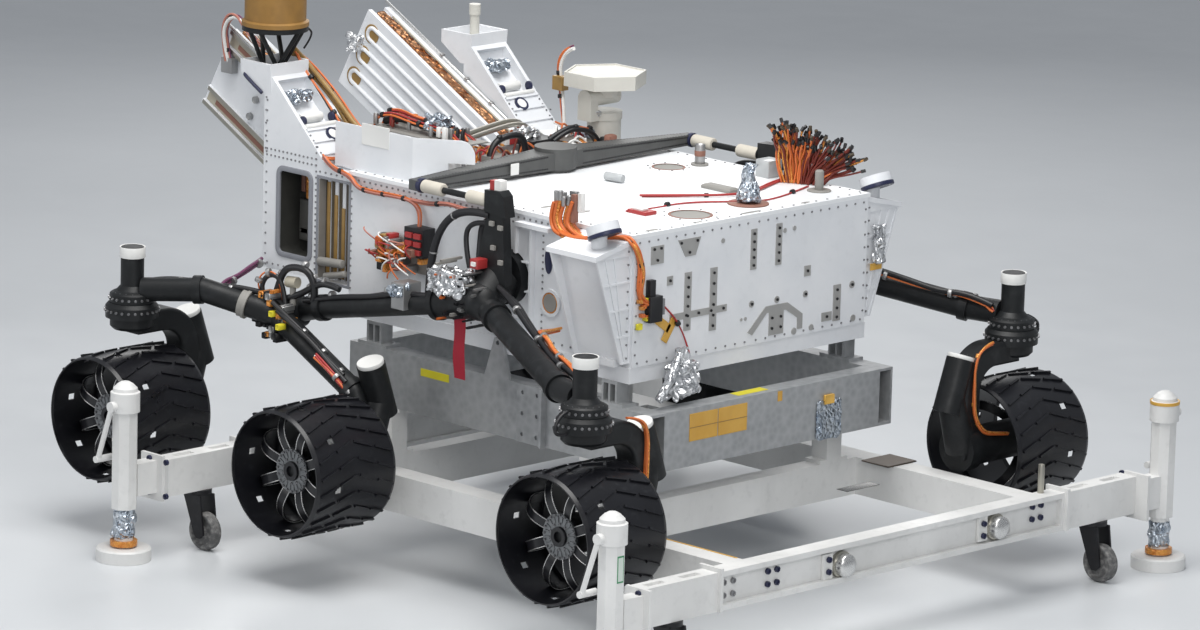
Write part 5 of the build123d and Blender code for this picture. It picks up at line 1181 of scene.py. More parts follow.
def side_equipment():
    """Dark box with red blocks, its cluster of connectors, and the plugs and foil round the right elbow."""
    case("hose_box", (-0.434, -0.690, 1.182), (-0.332, -0.626, 1.293), "black_plastic", RIGHTWARD, 0.006,
         0.003)
    red = [(-0.424 + 0.046 * column, 1.192 + 0.031 * level) for level in range(3) for column in range(2)]
    blocks("red_blocks", [((x, -0.697, z), (x + 0.036, -0.686, z + 0.020), "wire_red") for x, z in red],
           RIGHTWARD)
    case("cluster_plate", (-0.600, -0.640, 1.108), (-0.345, -0.626, 1.235), "port_grey", RIGHTWARD, 0.006)
    draw = random.Random(5)
    finishes = ("kapton", "port_brown", "wire_orange", "clip_silver", "black_plastic", "wire_red",
                "slat_gold")
    boxes = []
    for index in range(42):
        x, z = draw.uniform(-0.600, -0.350), draw.uniform(1.105, 1.240)
        y = -draw.uniform(0.640, 0.705)
        wide, deep = draw.uniform(0.006, 0.016), draw.uniform(0.006, 0.016)
        high = draw.uniform(0.006, 0.022)
        look = finishes[index % len(finishes)]
        boxes.append(((x - wide, y - deep, z - high), (x + wide, -0.636, z + high), look))
    blocks("cluster_connectors", boxes, RIGHTWARD)
    lines = []
    for index in range(26):
        x, z = draw.uniform(-0.580, -0.380), draw.uniform(1.120, 1.235)
        far = (x + draw.uniform(-0.10, 0.12), -draw.uniform(0.68, 0.74), z + draw.uniform(-0.06, 0.05))
        middle = ((x + far[0]) / 2, -0.755, (z + far[2]) / 2 + 0.02)
        lines.append((LEAD_COLOURS[index % 4], ((x, -0.70, z), middle, far)))
    leads("cluster_leads", lines, 0.0030)
    clump("elbow_foil", (-0.150, -0.862, 1.110), (0.062, -0.770, 1.215), strength=0.030)
    clump("arm_foil", (-0.345, -0.862, 1.060), (-0.262, -0.800, 1.112), "blue_foil", 0.020)
    case("arm_clamp", (-0.330, -0.850, 1.018), (-0.262, -0.760, 1.118), "clip_silver", RIGHTWARD, 0.008)
    case("elbow_plug_red", (0.036, -0.800, 1.226), (0.078, -0.735, 1.262), "wire_red", RIGHTWARD, 0.006)
    case("elbow_plug_white", (0.046, -0.806, 1.236), (0.068, -0.796, 1.252), "label_white", RIGHTWARD,
         0.003)
    case("head_block_white", (0.100, -0.745, 1.516), (0.134, -0.712, 1.562), "label_white", RIGHTWARD,
         0.006)
    case("head_block_red", (0.076, -0.745, 1.518), (0.100, -0.712, 1.558), "wire_red", RIGHTWARD, 0.005)
    boxes = [((x, -0.760, z), (x + 0.022, -0.749, z + 0.018), "port_grey")
             for x, z in ((0.100, 1.300), (0.140, 1.250), (0.090, 1.390), (0.135, 1.380))]
    for index in range(24):
        x, z = draw.uniform(-0.100, 0.140), draw.uniform(1.010, 1.250)
        size = draw.uniform(0.006, 0.013)
        shade = ("black_plastic", "clip_silver", "black_plastic", "wire_orange", "port_grey")[index % 5]
        boxes.append(((x, -0.862, z), (x + size, -0.750, z + size), shade))
    blocks("elbow_bits", boxes, RIGHTWARD)
    oval = ring(at(0.276, -HALF_BODY, 1.276), RIGHTWARD, 0.0, 1)
    patch = cylinder((0, 0, -0.004), (0, 0, 0.003), 0.5, 32)
    patch.data.transform(Matrix.Diagonal((0.040, 0.110, 1, 1)))
    stepped(patch, UP, (0.005, -0.002))
    finished(repeated(patch, oval), "side_oval", "navy_plastic")


def arm_equipment():
    """Collars, tags and end fittings on the arms and the steering cans."""
    boxes = [((x - 0.010, y - 0.030, z - 0.011), (x + 0.010, y + 0.010, z + 0.011), "tape_yellow")
             for x, y, z in ((-0.905, -0.905, 0.905), (-0.840, -0.928, 0.868))]
    round_piece("bogie_cylinder", at(-0.905, -0.845, 1.020), at(-0.855, -0.838, 1.022), 0.022, "hose_tan",
                0.005, 0.003)
    round_piece("bogie_cylinder_foot", at(-0.880, -0.840, 0.930), at(-0.880, -0.840, 1.004), 0.012,
                "port_grey")
    draw = random.Random(23)
    finishes = ("black_plastic", "clip_silver", "black_plastic", "black_plastic", "kapton", "black_plastic",
                "black_plastic")
    for index in range(44):
        angle = draw.uniform(0, 2 * math.pi)
        reach = draw.uniform(0.045, 0.095)
        x, z = -0.930 + reach * math.cos(angle), 0.890 + reach * math.sin(angle)
        size = draw.uniform(0.006, 0.015)
        boxes.append(((x - size, -0.905 - size, z - size), (x + size, -0.850, z + size),
                      finishes[index % len(finishes)]))
    blocks("pivot_bits", boxes, RIGHTWARD)
    round_piece("rear_tube_collar", at(-1.062, -0.940, 0.9245), at(-1.035, -0.926, 0.9175), 0.0525,
                "port_grey")
    round_piece("rear_tube_ring", at(-1.045, -0.931, 0.9205), at(-1.033, -0.925, 0.9170), 0.0560,
                "port_grey")
    for place, side, sign, hub in wheels("front", "rear"):
        top = hub + UP * STEER_HEIGHT
        band = cylinder(top + UP * 0.172, top + UP * 0.2145, 0.0492, 36)
        stepped(band, UP, (0.007, -0.004), (0.012, 0.003))
        finished(bevelled(band, 0.0015), f"can_band_{place}_{side}", "label_white")
    for place, side, sign, hub in wheels(*WHEEL_X):
        low = hub + Vector((0, -sign * 0.285, 0.350))
        along = Vector((0, sign * 0.070, 0.200)).normalized()
        round_piece(f"motor_cap_{place}_{side}", low - along * 0.002, low + along * 0.0165, 0.0520,
                    "label_white", 0.012, 0.002, 0.003, body=arm_body(place, side))


# X, Y, length and width of each slot in the deck
DECK_SLOTS = ((0.690, -0.512, 0.070, 0.018), (0.694, -0.275, 0.050, 0.012), (0.690, 0.012, 0.110, 0.016),
              (0.692, 0.306, 0.045, 0.014), (0.300, -0.470, 0.060, 0.022), (0.150, -0.520, 0.060, 0.018))
FRONT_SKIN = 0.7215
CRADLE_FRONT = 0.8505


def front_equipment():
    """Connectors, tapes and foil on the front face, slots in the deck, and labels on the cradle."""
    case("front_connector", (FRONT_SKIN, -0.570, 1.108), (0.752, -0.505, 1.205), "black_plastic", AHEAD,
         0.008, 0.004)
    case("front_connector_top", (FRONT_SKIN, -0.566, 1.200), (0.744, -0.535, 1.266), "black_plastic", AHEAD,
         0.005)
    case("front_connector_side", (FRONT_SKIN, -0.510, 1.130), (0.744, -0.485, 1.190), "screw_steel", AHEAD,
         0.004)
    draw = random.Random(3)
    boxes = []
    for index in range(9):
        y, z = draw.uniform(-0.615, -0.560), draw.uniform(1.110, 1.200)
        boxes.append(((FRONT_SKIN, y, z), (0.742, y + 0.016, z + 0.014),
                      ("kapton", "wire_orange", "tape_yellow")[index % 3]))
    blocks("front_plugs", boxes, AHEAD)
    case("front_tag", (FRONT_SKIN, -0.615, 1.085), (0.735, -0.590, 1.108), "tape_yellow", AHEAD, 0.003)
    for index, (y, z, turn) in enumerate(((-0.478, 1.092, -35), (-0.440, 1.060, 55))):
        tab = cube(at(0.7235, y, z), (0.003, 0.094, 0.034))
        stepped(tab, AHEAD, (0.003, 0))
        hold = Matrix.Translation(at(0.7235, y, z))
        tab.data.transform(hold @ Matrix.Rotation(math.radians(turn), 4, "X") @ hold.inverted())
        finished(bevelled(tab, 0.0008), f"orange_tape_{index}", "tape_gold")
    clump("front_foil_bag", (0.752, -0.500, 0.812), (0.812, -0.345, 0.955), strength=0.034)
    clump("front_foil_neck", (0.745, -0.440, 0.925), (0.785, -0.385, 1.005), strength=0.018)
    tube = [at(0.80, y, z) for y, z in ((-0.563, 0.826), (-0.526, 0.866), (-0.489, 0.922), (-0.456, 0.990))]
    wires("front_foil_tube", [tube], 0.017, "silver_foil")
    clump("left_foil", (0.716, 0.652, 1.160), (0.748, 0.708, 1.318), strength=0.020)
    case("left_foil_tag", (0.722, 0.642, 1.140), (0.726, 0.705, 1.166), "tape_gold", AHEAD, 0.003)
    for index, (x, y, long, wide) in enumerate(DECK_SLOTS):
        slit = cylinder((0, 0, -0.002), (0, 0, 0.0012), 0.5, 24)
        slit.data.transform(Matrix.Translation(at(x, y, DECK_TOP)) @ Matrix.Diagonal((wide, long, 1, 1)))
        stepped(slit, UP, (wide * 0.15, -0.0006))
        finished(slit, f"deck_slot_{index}", "port_grey")
    for index, (low_y, high_y) in enumerate(((-0.449, -0.301), (-0.296, -0.144))):
        case(f"gold_plate_{index}", (CRADLE_FRONT - 0.001, low_y, 0.664),
             (CRADLE_FRONT + 0.002, high_y, 0.768), "tape_gold", AHEAD, 0.005, 0.0006)
        case(f"gold_plate_line_{index}", (CRADLE_FRONT, low_y, 0.714),
             (CRADLE_FRONT + 0.0028, high_y, 0.717), "slat_gold")
    clump("cradle_foil_label", (CRADLE_FRONT - 0.001, 0.228, 0.562), (CRADLE_FRONT + 0.010, 0.366, 0.716),
          "blue_foil", 0.010)
    case("cradle_foil_tag", (CRADLE_FRONT, 0.270, 0.700), (CRADLE_FRONT + 0.012, 0.320, 0.735), "tape_gold",
         AHEAD, 0.003)
    case("cradle_tape", (CRADLE_FRONT - 0.001, 0.020, 0.747), (CRADLE_FRONT + 0.0015, 0.044, 0.785),
         "tape_gold", AHEAD, 0.002, 0.0004)
    case("cradle_top_label", (0.775, -0.160, 0.7895), (0.820, 0.000, 0.7915), "tape_yellow", UP, 0.003,
         0.0004)
    case("cradle_side_label", (-0.368, -0.6520, 0.722), (-0.215, -0.6495, 0.752), "tape_yellow", RIGHTWARD,
         0.003, 0.0004)


POD_TILT = math.radians(24)


def pods():
    """Navy ring and dull grey inside at the mouth of each round pod."""
    out = Vector((math.sin(POD_TILT), 0, -math.cos(POD_TILT)))
    for side, sign in SIDES:
        mouth = at(0.668, sign * 0.7308, 1.4432)
        rim = cylinder(mouth - out * 0.012, mouth + out * 0.004, 0.0645, 40)
        stepped(rim, out, (0.009, -0.002))
        finished(bevelled(rim, 0.002), f"pod_rim_{side}", "navy_plastic")
        round_piece(f"pod_inside_{side}", mouth, mouth + out * 0.0032, 0.051, "window_dark", 0.010, 0.0015,
                    0.0006)


# Wheels, exchangers and stand

# Middle, lift and radius of the arc that a spoke's outer face follows, in metres from the hub's centre
SPOKE_ARC = (-0.00837, 0.13048, 0.10725)
SPOKE_FROM, SPOKE_TO, SPOKE_HALF = math.radians(206), math.radians(70), 0.0178
SPOKES, SPOKE_POINTS, HUB_RIBS = 8, 8, 20


def spoke_highlights():
    """Painted highlights: thin bright strips along both sides of each spring spoke, for light glinting off
    its edges, and ribs on the hub disc.
    """
    middle, lift, radius = SPOKE_ARC
    for place, side, sign, centre in wheels(*WHEEL_X):
        body = wheel_body(place, side)
        lines = []
        for edge in (-SPOKE_HALF, SPOKE_HALF):
            line = []
            for index in range(SPOKE_POINTS):
                angle = SPOKE_FROM + (SPOKE_TO - SPOKE_FROM) * index / (SPOKE_POINTS - 1)
                out = -sign * (middle + (radius + 0.001) * math.cos(angle))
                line.append(centre + Vector((edge, out, lift + (radius + 0.001) * math.sin(angle))))
            lines.append(line)
        # Bright strips that paint the light glinting along each spoke's edges.
        edge = wires(f"spoke_highlight_{place}_{side}", lines, 0.0021, "edge_bright", body, 4)
        edges = spun(edge, centre, "Y", SPOKES, 0.5)
        finished(edges, f"spoke_highlights_{place}_{side}", "edge_bright", body, 60)
        face = centre + Vector((0, sign * 0.107, 0))
        rib = cube(face + Vector((0, sign * 0.001, 0.0635)), (0.006, 0.006, 0.024))
        stepped(rib, LEFTWARD * sign, (0.0014, 0.0015))
        ribs = spun(bevelled(rib, 0.0006), centre, "Y", HUB_RIBS, 0.5)
        finished(ribs, f"hub_ribs_{place}_{side}", "wheel_silver", body)


PANEL_TILT = math.radians(28)


def on_panel(side):
    """The frame of a heat exchanger: X along its top edge, Y to the rover's left, Z up its face."""
    corner = at(-1.705, side * 0.360, 1.830)
    return Matrix.Translation(corner) @ Matrix.Rotation(PANEL_TILT, 4, "Y")


def panel_strip(name, side, low, high, finish, rough=False):
    """A flat strip on a heat exchanger, given in the panel's own frame."""
    low, high = Vector(low), Vector(high)
    piece = cube((low + high) / 2, Vector([abs(value) for value in high - low]))
    if rough:
        divided(piece, 9).data.transform(on_panel(side))
        return crumpled(piece, finish, name, 0.009)
    pick(piece, lambda centre, normal: abs(normal.y) > 0.9)
    bpy.ops.mesh.inset(thickness=min(0.004, abs(high.z - low.z) * 0.2))
    settle(piece)
    piece.data.transform(on_panel(side))
    return finished(bevelled(piece, 0.0004), name, finish)


# Distance along and below the upper edge of each port on a panel's outer face
PANEL_PORTS = ((0.246, 0.161), (0.250, 0.238), (0.060, 0.120), (0.420, 0.180), (0.560, 0.215))


def exchanger_details():
    """Film between the plates, bright rails, dark strips, tube ends and the small fittings."""
    for side, sign in SIDES:
        out = 0.055 * sign
        panel_strip(f"edge_film_{side}", sign, (0.014, -0.022, -0.016), (0.884, 0.022, -0.001),
                    "edge_copper", True)
        panel_strip(f"edge_tape_{side}", sign, (0.060, 0.026, -0.004), (0.870, 0.034, 0.001), "hose_tan")
        panel_strip(f"edge_film_end_{side}", sign, (-0.001, -0.032, -0.330), (0.012, 0.032, -0.020),
                    "slat_gold", True)
        for index, z in enumerate((-0.018, -0.084, -0.287, -0.353)):
            panel_strip(f"rail_{index}_{side}", sign, (0.004, out + sign * 0.0115, z + 0.001),
                        (0.896, out + sign * 0.0135, z + 0.017), "tube_silver")
        for index, z in enumerate((-0.063, -0.332)):
            panel_strip(f"cream_band_{index}_{side}", sign, (0.010, out, z),
                        (0.890, out + sign * 0.0012, z + 0.042), "hose_tan")
            panel_strip(f"dark_band_{index}_{side}", sign, (0.060, out + sign * 0.0010, z + 0.011),
                        (0.870, out + sign * 0.0024, z + 0.031), "port_brown")
        start = on_panel(sign) @ Vector((-0.030, sign * 0.063, 0.006))
        end = on_panel(sign) @ Vector((0.800, sign * 0.063, 0.006))
        round_piece(f"edge_rod_{side}", start, end, 0.0065, "edge_bright")
        for index, along in enumerate((0.34, 0.50, 0.66)):
            clip = cube((along, sign * 0.063, 0.006), (0.014, 0.018, 0.020))
            stepped(clip, UP, (0.003, 0.002))
            clip.data.transform(on_panel(sign))
            finished(bevelled(clip, 0.001), f"rod_clip_{index}_{side}", "clip_silver")
        places = [(on_panel(sign) @ Vector((x, out, -z)), LEFTWARD * sign) for x, z in PANEL_PORTS]
        stub = cylinder((0, 0, -0.001), (0, 0, 0.014), 0.014, 20)
        stepped(stub, UP, (0.003, -0.004))
        finished(repeated(bevelled(stub, 0.001), places), f"panel_ports_{side}", "clip_silver")
        for index in range(3):
            offset = (0.353 - 0.104 * 2) / 2 + 0.104 * index
            pad = on_panel(sign) @ Vector((0.066, -sign * 0.055, -offset))
            round_piece(f"loop_pad_{index}_{side}", pad, pad - Vector((0, sign * 0.003, 0)), 0.040,
                        "slat_gold", 0.006, 0.001, 0.0008)
    turn = on_panel(LEFT)
    ball = turn @ Vector((0.020, -0.070, -0.150))
    near = Vector((ball.x - SHIFT, ball.y, ball.z))
    clump("left_panel_foil", near - Vector((0.035, 0.030, 0.035)), near + Vector((0.035, 0.030, 0.035)),
          strength=0.022)
    case("panel_lead_seat", (-1.735, -0.450, 1.660), (-1.675, -0.415, 1.720), "clip_silver", RIGHTWARD,
         0.006)


def tower_details():
    """Foil in the recess of each slanted face, its cross bar, the dark rim and blank roundels."""
    slope_out = Vector((0.690, 0, 0.724))
    foot_x, foot_z, head_x, head_z = -0.940, 1.437, -1.250, 1.733
    for side, sign in SIDES:
        middle_y = sign * (HALF_BODY - 0.095)
        foot, head = Vector((foot_x, middle_y, foot_z)), Vector((head_x, middle_y, head_z))
        centre = foot.lerp(head, 0.80) - slope_out * 0.026
        clump(f"recess_foil_{side}", centre - Vector((0.042, 0.056, 0.022)),
              centre + Vector((0.042, 0.056, 0.022)), "blue_foil", 0.022)
        tray = foot.lerp(head, 0.56) - slope_out * 0.030
        round_piece(f"recess_drum_{side}", at(tray.x, tray.y - 0.055, tray.z),
                    at(tray.x, tray.y + 0.055, tray.z), 0.019, "label_white", 0.004, 0.003)
        bar_at = foot.lerp(head, 0.43)
        round_piece(f"recess_bar_{side}", at(bar_at.x, middle_y - 0.078, bar_at.z - 0.002),
                    at(bar_at.x, middle_y + 0.078, bar_at.z - 0.002), 0.010, "label_white")
        for index, shift in enumerate((-0.074, 0.074)):
            spot = at(bar_at.x - 0.020, middle_y + shift, bar_at.z + 0.018)
            round_piece(f"recess_gusset_{index}_{side}", spot - Vector((0, 0.004, 0)),
                        spot + Vector((0, 0.004, 0)), 0.019, "navy_plastic")
        spot = foot.lerp(head, 0.305)
        disc = at(spot.x, sign * (HALF_BODY - 0.120), spot.z) + slope_out * 0.0075
        round_piece(f"roundel_{side}", disc - slope_out * 0.007, disc + slope_out * 0.0016, 0.030,
                    "navy_plastic", 0.005, 0.0006, 0.0004)
        round_piece(f"roundel_inner_{side}", disc, disc + slope_out * 0.0019, 0.021, "label_white", 0.004,
                    0.0, 0.0004)
        screws = []
        for share in (0.05, 0.09, 0.135, 0.20, 0.27, 0.33, 0.39):
            spot = foot.lerp(head, share)
            for across in (0.012, 0.178):
                screws.append((at(spot.x, sign * (HALF_BODY - across), spot.z), slope_out))
        for height in (1.452, 1.500, 1.550, 1.600, 1.650):
            screws.append((at(-1.278, sign * HALF_BODY, height), LEFTWARD * sign))
        finished(repeated(cap_screw(0.0042, 0.0028), screws), f"slope_screws_{side}", "screw_steel")
        rim = [at(-1.422, sign * (HALF_BODY - 0.10), 1.736), at(-1.418, sign * (HALF_BODY + 0.006), 1.734),
               at(-1.360, sign * (HALF_BODY + 0.010), 1.700), at(-1.300, sign * (HALF_BODY + 0.006), 1.664)]
        wires(f"box_rim_{side}", [rim], 0.0075, "navy_plastic")


def trolley_details():
    """Bolts, domed fittings, pin, plates and tapes on the lower frame and the jacks."""
    face = 1.4905
    black, grey = [], []
    for y, z, places in ((0.793, 0.322, black), (-0.641, 0.310, black), (1.004, 0.316, grey),
                         (-0.869, 0.306, grey)):
        places += four(at(face - 0.0225, y, z))
    for y in (0.486, -0.355):
        black += [(at(face - 0.010, y, z), AHEAD) for z in (0.282, 0.328)]
    for sign in (RIGHT, LEFT):
        for x in (1.450, -1.055):
            for offset in (-0.048, 0.048):
                for z in (0.240, 0.372):
                    black.append((at(x + offset, sign * 1.354, z), LEFTWARD * sign))
    finished(repeated(cap_screw(0.0115, 0.010), black), "stand_bolts_black", "navy_plastic")
    finished(repeated(cap_screw(0.0110, 0.009), grey), "stand_bolts_grey", "screw_steel")
    for name, y, z, plate_y in (("left", 0.558, 0.305, 0.486), ("right", -0.281, 0.298, -0.355)):
        case(f"dome_plate_{name}", (face - 0.024, plate_y - 0.024, z - 0.045),
             (face - 0.010, plate_y + 0.024, z + 0.050), "label_white", AHEAD, 0.004)
        dome = cylinder(at(face - 0.024, y, z), at(face + 0.022, y, z), 0.043, 40)
        stepped(dome, AHEAD, (0.013, 0.010), (0.014, 0.005))
        finished(bevelled(dome, 0.004, 3), f"dome_{name}", "edge_bright", angle=60)
        round_piece(f"dome_ring_{name}", at(face - 0.024, y, z), at(face - 0.008, y, z), 0.050,
                    "tube_silver")
    round_piece("tow_pin", at(1.430, 0.860, 0.376), at(1.430, 0.860, 0.489), 0.0125, "tube_silver", 0.003,
                0.003, 0.003)
    case("rail_plate", (0.660, 0.700, 0.3775), (0.800, 0.860, 0.3835), "bronze_plate", UP, 0.008, 0.001)
    case("rail_tape", (0.960, -0.744, 0.3775), (1.387, -0.736, 0.3800), "tape_gold", UP, 0.002, 0.0003)
    case("rail_tape_side", (0.960, -0.7365, 0.352), (1.387, -0.7345, 0.3785), "tape_gold", LEFTWARD, 0.002,
         0.0003)
    jack_face = 1.490 + 0.0465
    case("jack_label_frame", (jack_face - 0.002, -1.506, 0.440), (jack_face + 0.0008, -1.474, 0.538),
         "label_green", AHEAD, 0.003, 0.0003)
    case("jack_label", (jack_face, -1.502, 0.446), (jack_face + 0.0014, -1.478, 0.532), "label_pale", AHEAD,
         0.002, 0.0002)
    jack_top = at(1.490, 1.490, 0.640)
    round_piece("jack_tape", jack_top, jack_top + UP * 0.014, 0.0575, "tape_gold", 0.004, 0.002)
    for name, x, y, high in (("front_left", 1.490, 1.490, 0.125), ("rear_right", -1.095, -1.490, 0.150)):
        low = at(x, y, 0.072)
        wrap = cylinder(low, low + UP * high, 0.046, 20)
        crumpled(divided(wrap, 3), "blue_foil", f"jack_foil_{name}", 0.016)
        round_piece(f"jack_foil_tape_{name}", at(x, y, 0.056), at(x, y, 0.078), 0.052, "kapton", 0.004,
                    0.001)
    case("lower_rail_tape", (0.905, 0.300, 0.3775), (0.960, 0.480, 0.3795), "window_dark", UP, 0.003,
         0.0004)


LINK_Z = 1.473
BAR_X = -0.330


def link_sleeves():
    """Cream sleeves and navy collars on the differential links."""
    for side, sign in SIDES:
        y = sign * 0.7225
        for index, (start, end) in enumerate(((-0.296, -0.190), (-0.055, 0.056))):
            sleeve = cylinder(at(start, y, LINK_Z), at(end, y, LINK_Z), 0.0250, 28)
            finished(bevelled(sleeve, 0.006, 3), f"link_sleeve_{index}_{side}", "cream_cloth")
        collar = cylinder(at(-0.318, y, LINK_Z), at(-0.298, y, LINK_Z), 0.0285, 28)
        finished(bevelled(collar, 0.003), f"link_collar_{side}", "navy_plastic")


def bar_details():
    """Rows of small holes along the differential bar's edges, and its blank label."""
    half, end_wide, middle_wide, low = 0.745, 0.022, 0.060, 1.453
    count = 75
    holes = []
    for index in range(count):
        for sign in (-1, 1):
            share = 0.13 + 0.82 * index / (count - 1)
            y = sign * half * share
            wide = middle_wide + (end_wide - middle_wide) * share
            top = low + 0.068 - 0.028 * share
            slope = Vector((0, sign * 0.028, half)).normalized()
            if index % 2:
                holes.append((at(BAR_X + wide * 0.80, y, top), slope))
                holes.append((at(BAR_X - wide * 0.80, y, top), slope))
            for height in (top - 0.009, low + 0.010):
                holes.append((at(BAR_X + wide, y, height), Vector((1, sign * 0.05, 0))))
    dot = cylinder((0, 0, -0.002), (0, 0, 0.0008), 0.0034, 8)
    stepped(dot, UP, (0.001, 0))
    finished(repeated(dot, holes), "bar_holes", "black_plastic")
    label = cube(at(-0.270, -0.275, low + 0.032), (0.003, 0.042, 0.044))
    stepped(label, AHEAD, (0.003, 0))
    finished(bevelled(label, 0.0006), "bar_label", "label_white")


def cover_gear():
    """Patch on the deck cover, and the strap, foil and wires that lie behind it."""
    low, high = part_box("deck_cover")
    patch = cube((low.x + 0.223, low.y - 0.0012, 1.585), (0.150, 0.003, 0.082))
    stepped(patch, RIGHTWARD, (0.004, -0.0006))
    finished(bevelled(patch, 0.0008), "cover_patch", "label_white")
    strap = [at(x, -0.300, z) for x,
             z in ((-0.955, 1.570), (-0.900, 1.592), (-0.820, 1.590), (-0.699, 1.581))]
    wires("cover_strap", [strap], 0.016, "black_plastic")
    clump("cover_foil", (-0.712, -0.335, 1.560), (-0.612, -0.255, 1.640), "blue_foil", 0.030)
    for index, (y, lift) in enumerate(((-0.330, 0.0), (-0.290, 0.012), (-0.250, -0.006))):
        harness(f"cover_wires_{index}",
                ((-1.000, y, 1.500), (-0.985, y, 1.585 + lift), (-0.900, y, 1.612 + lift),
                 (-0.780, y - 0.010, 1.602), (-0.690, y, 1.590 + lift), (-0.610, y, 1.585),
                 (-0.560, y + 0.010, 1.580 + lift), (-0.520, y, 1.556)),
                (("wire_orange", 0.0040, 1), ("wire_red", 0.0035, 1), ("wire_maroon", 0.0045, 1)),
                (1, 3, 5))
    draw = random.Random(41)
    boxes = []
    for index in range(34):
        x, y = draw.uniform(-0.990, -0.500), draw.uniform(-0.360, -0.240)
        size = draw.uniform(0.008, 0.018)
        shade = ("clip_silver", "wire_red", "black_plastic", "kapton", "label_white",
                 "wire_maroon")[index % 6]
        boxes.append(((x, y, 1.560), (x + size * 1.5, y + size, 1.585 + draw.uniform(0.0, 0.024)), shade))
    blocks("cover_bits", boxes, UP)
    shelf = cube(at(-0.735, -0.300, 1.553), (0.540, 0.150, 0.006))
    stepped(shelf, UP, (0.010, -0.002))
    finished(bevelled(shelf, 0.0015), "cover_shelf", "port_grey")
    for index, x in enumerate((-0.980, -0.735, -0.490)):
        round_piece(f"shelf_post_{index}", at(x, -0.300, DECK_TOP), at(x, -0.300, 1.552), 0.010,
                    "clip_silver")


def rear_gear():
    """Tubes, dark units, leads and foil on the deck between the bar and the heat exchangers."""
    units = (("rear_unit_a", (-0.640, 0.060, 1.440), (-0.520, 0.200, 1.512), "black_plastic"),
             ("rear_unit_b", (-0.610, 0.230, 1.440), (-0.500, 0.330, 1.495), "bronze_plate"),
             ("rear_unit_c", (-0.660, -0.080, 1.440), (-0.560, 0.030, 1.500), "clip_silver"),
             ("rear_unit_d", (-0.520, -0.210, 1.440), (-0.450, -0.120, 1.492), "port_grey"),
             ("rear_tag_red", (-0.600, -0.006, 1.500), (-0.570, 0.028, 1.532), "wire_red"),
             ("rear_tag_white", (-0.600, -0.030, 1.500), (-0.572, -0.008, 1.526), "label_white"))
    for name, low, high, finish in units:
        case(name, low, high, finish, UP, 0.008, 0.003)
    for index, lift in enumerate((0.0, 0.026)):
        high = lift * 0.4
        tube = [at(x - lift, y, z) for x, y, z in ((-0.560, -0.260, 1.500), (-0.575, -0.240, 1.545 + high),
                                                   (-0.600, -0.140, 1.552 + high),
                                                   (-0.690, 0.200, 1.556 + high), (-0.700, 0.225, 1.500))]
        wires(f"rear_tube_{index}", [tube], 0.010, "tube_silver")
    clump("rear_foil", (-0.660, 0.080, 1.505), (-0.580, 0.170, 1.545), "silver_foil", 0.022)
    draw = random.Random(57)
    colours = ("wire_orange", "wire_red", "label_white", "kapton", "wire_maroon")
    lines = []
    for index in range(30):
        x, y = draw.uniform(-0.660, -0.440), draw.uniform(-0.260, 0.360)
        over = (x + draw.uniform(-0.05, 0.05), y + draw.uniform(0.03, 0.08),
                1.500 + draw.uniform(0.0, 0.070))
        far = (over[0] + draw.uniform(-0.03, 0.03), over[1] + draw.uniform(0.03, 0.08), 1.445)
        lines.append((colours[index % 5], ((x, y, 1.445), (x, y, 1.480), over, far)))
    leads("rear_leads", lines, 0.0042)
    boxes = []
    for index in range(34):
        x, y = draw.uniform(-0.650, -0.430), draw.uniform(-0.280, 0.400)
        size = draw.uniform(0.010, 0.022)
        shade = ("clip_silver", "black_plastic", "port_brown", "kapton", "label_white")[index % 5]
        boxes.append(((x, y, 1.439), (x + size, y + size, 1.470 + draw.uniform(0.0, 0.040)), shade))
    blocks("rear_bits", boxes, UP)


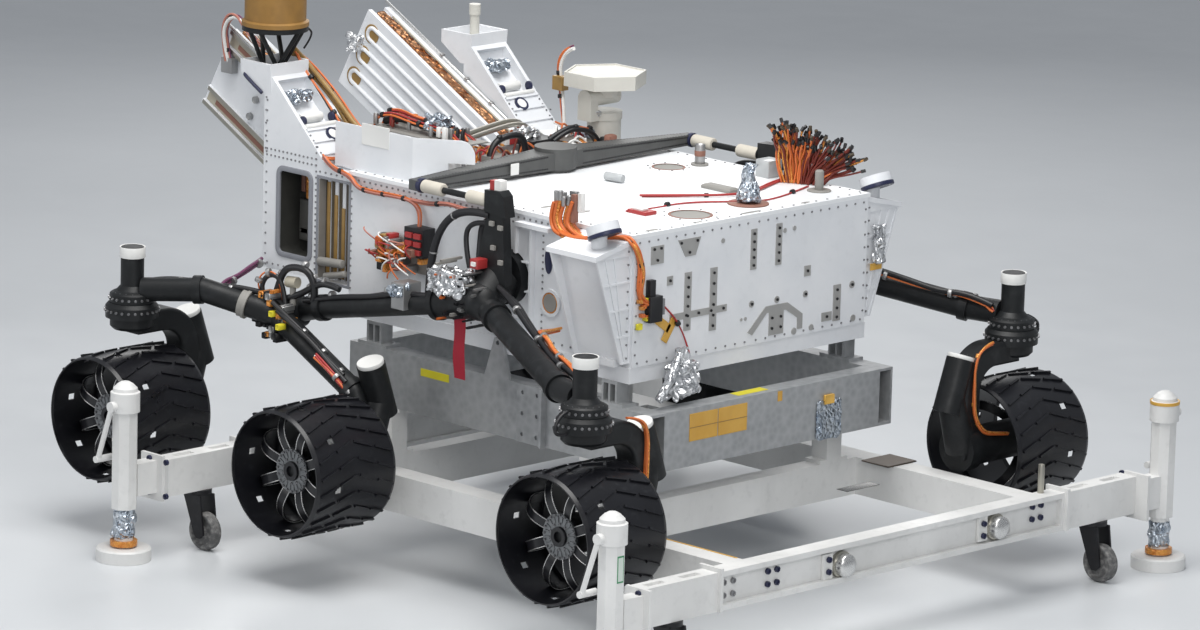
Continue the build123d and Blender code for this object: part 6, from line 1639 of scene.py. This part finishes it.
def antenna_gear():
    """Foil round the steerable antenna's neck, and the tied leads and gold plug beside it."""
    clump("antenna_foil", (-0.568, 0.362, 1.572), (-0.480, 0.400, 1.604), "silver_foil", 0.014, "hga_yoke")
    clump("antenna_film", (-0.600, 0.372, 1.480), (-0.500, 0.400, 1.530), "blue_foil", 0.018)
    blocks("antenna_bits", [((x, 0.360, 1.439), (x + 0.034, 0.400, z), look) for x, z, look in
                            ((-0.430, 1.520, "port_brown"), (-0.640, 1.490, "clip_silver"),
                             (-0.455, 1.470, "kapton"), (-0.600, 1.475, "black_plastic"))], UP)
    case("antenna_plug", (-0.785, 0.425, 1.635), (-0.730, 0.462, 1.690), "slat_gold", RIGHTWARD, 0.006)


def side_port():
    """Orange-brown gasket and dull cover in each side port."""
    for side, sign in SIDES:
        out = LEFTWARD * sign
        centre = at(0.291, sign * (HALF_BODY + 0.001), 1.114)
        round_piece(f"side_port_gasket_{side}", centre, centre + out * 0.0045, 0.0395, "kapton", 0.004,
                    0.0005, 0.0006)
        round_piece(f"side_port_cover_{side}", centre, centre + out * 0.0055, 0.0340, "port_grey", 0.005,
                    0.0010, 0.0006)


def streamer_cloth():
    """The plain red cloth tag under the right elbow, which stands for its flat solid."""
    low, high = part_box("streamer")
    wide, long = high.x - low.x, high.z - low.z
    bpy.ops.mesh.primitive_grid_add(x_subdivisions=10, y_subdivisions=48, size=1)
    cloth = bpy.context.object
    cloth.scale = (wide, long, 1)
    settle(cloth)
    cloth.data.transform(Matrix.Rotation(math.radians(90), 4, "X"))
    middle = (low + high) / 2
    for point in cloth.data.vertices:
        x, z = point.co.x, point.co.z
        drop = 0.5 - z / long
        sway = 0.0035 * math.sin(6.5 * drop + 0.8) * drop + 0.0016 * math.sin(30 * x + 9 * drop)
        point.co = Vector((middle.x + x + 0.003 * drop * drop, middle.y + sway, middle.z + z))
    only(cloth)
    thick = cloth.modifiers.new("cloth", "SOLIDIFY")
    thick.thickness = 0.001
    thick.offset = 0
    apply_all(cloth)
    finished(cloth, "streamer_cloth", "streamer_cloth", angle=50)
    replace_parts(cloth, "streamer")


set_details = (streamer_cloth, upright_hoses, body_rivets, pad_screws, steering_screws, wheel_details,
               window_frames, bay_slats, deck_ports, foil_cone, connector_fan, cap_bundle, deck_boxes,
               harnesses, side_equipment, arm_equipment, front_equipment, pods, spoke_highlights,
               exchanger_details, tower_details, trolley_details, link_sleeves, bar_details, cover_gear,
               rear_gear, antenna_gear, side_port)
for make in set_details:
    make()
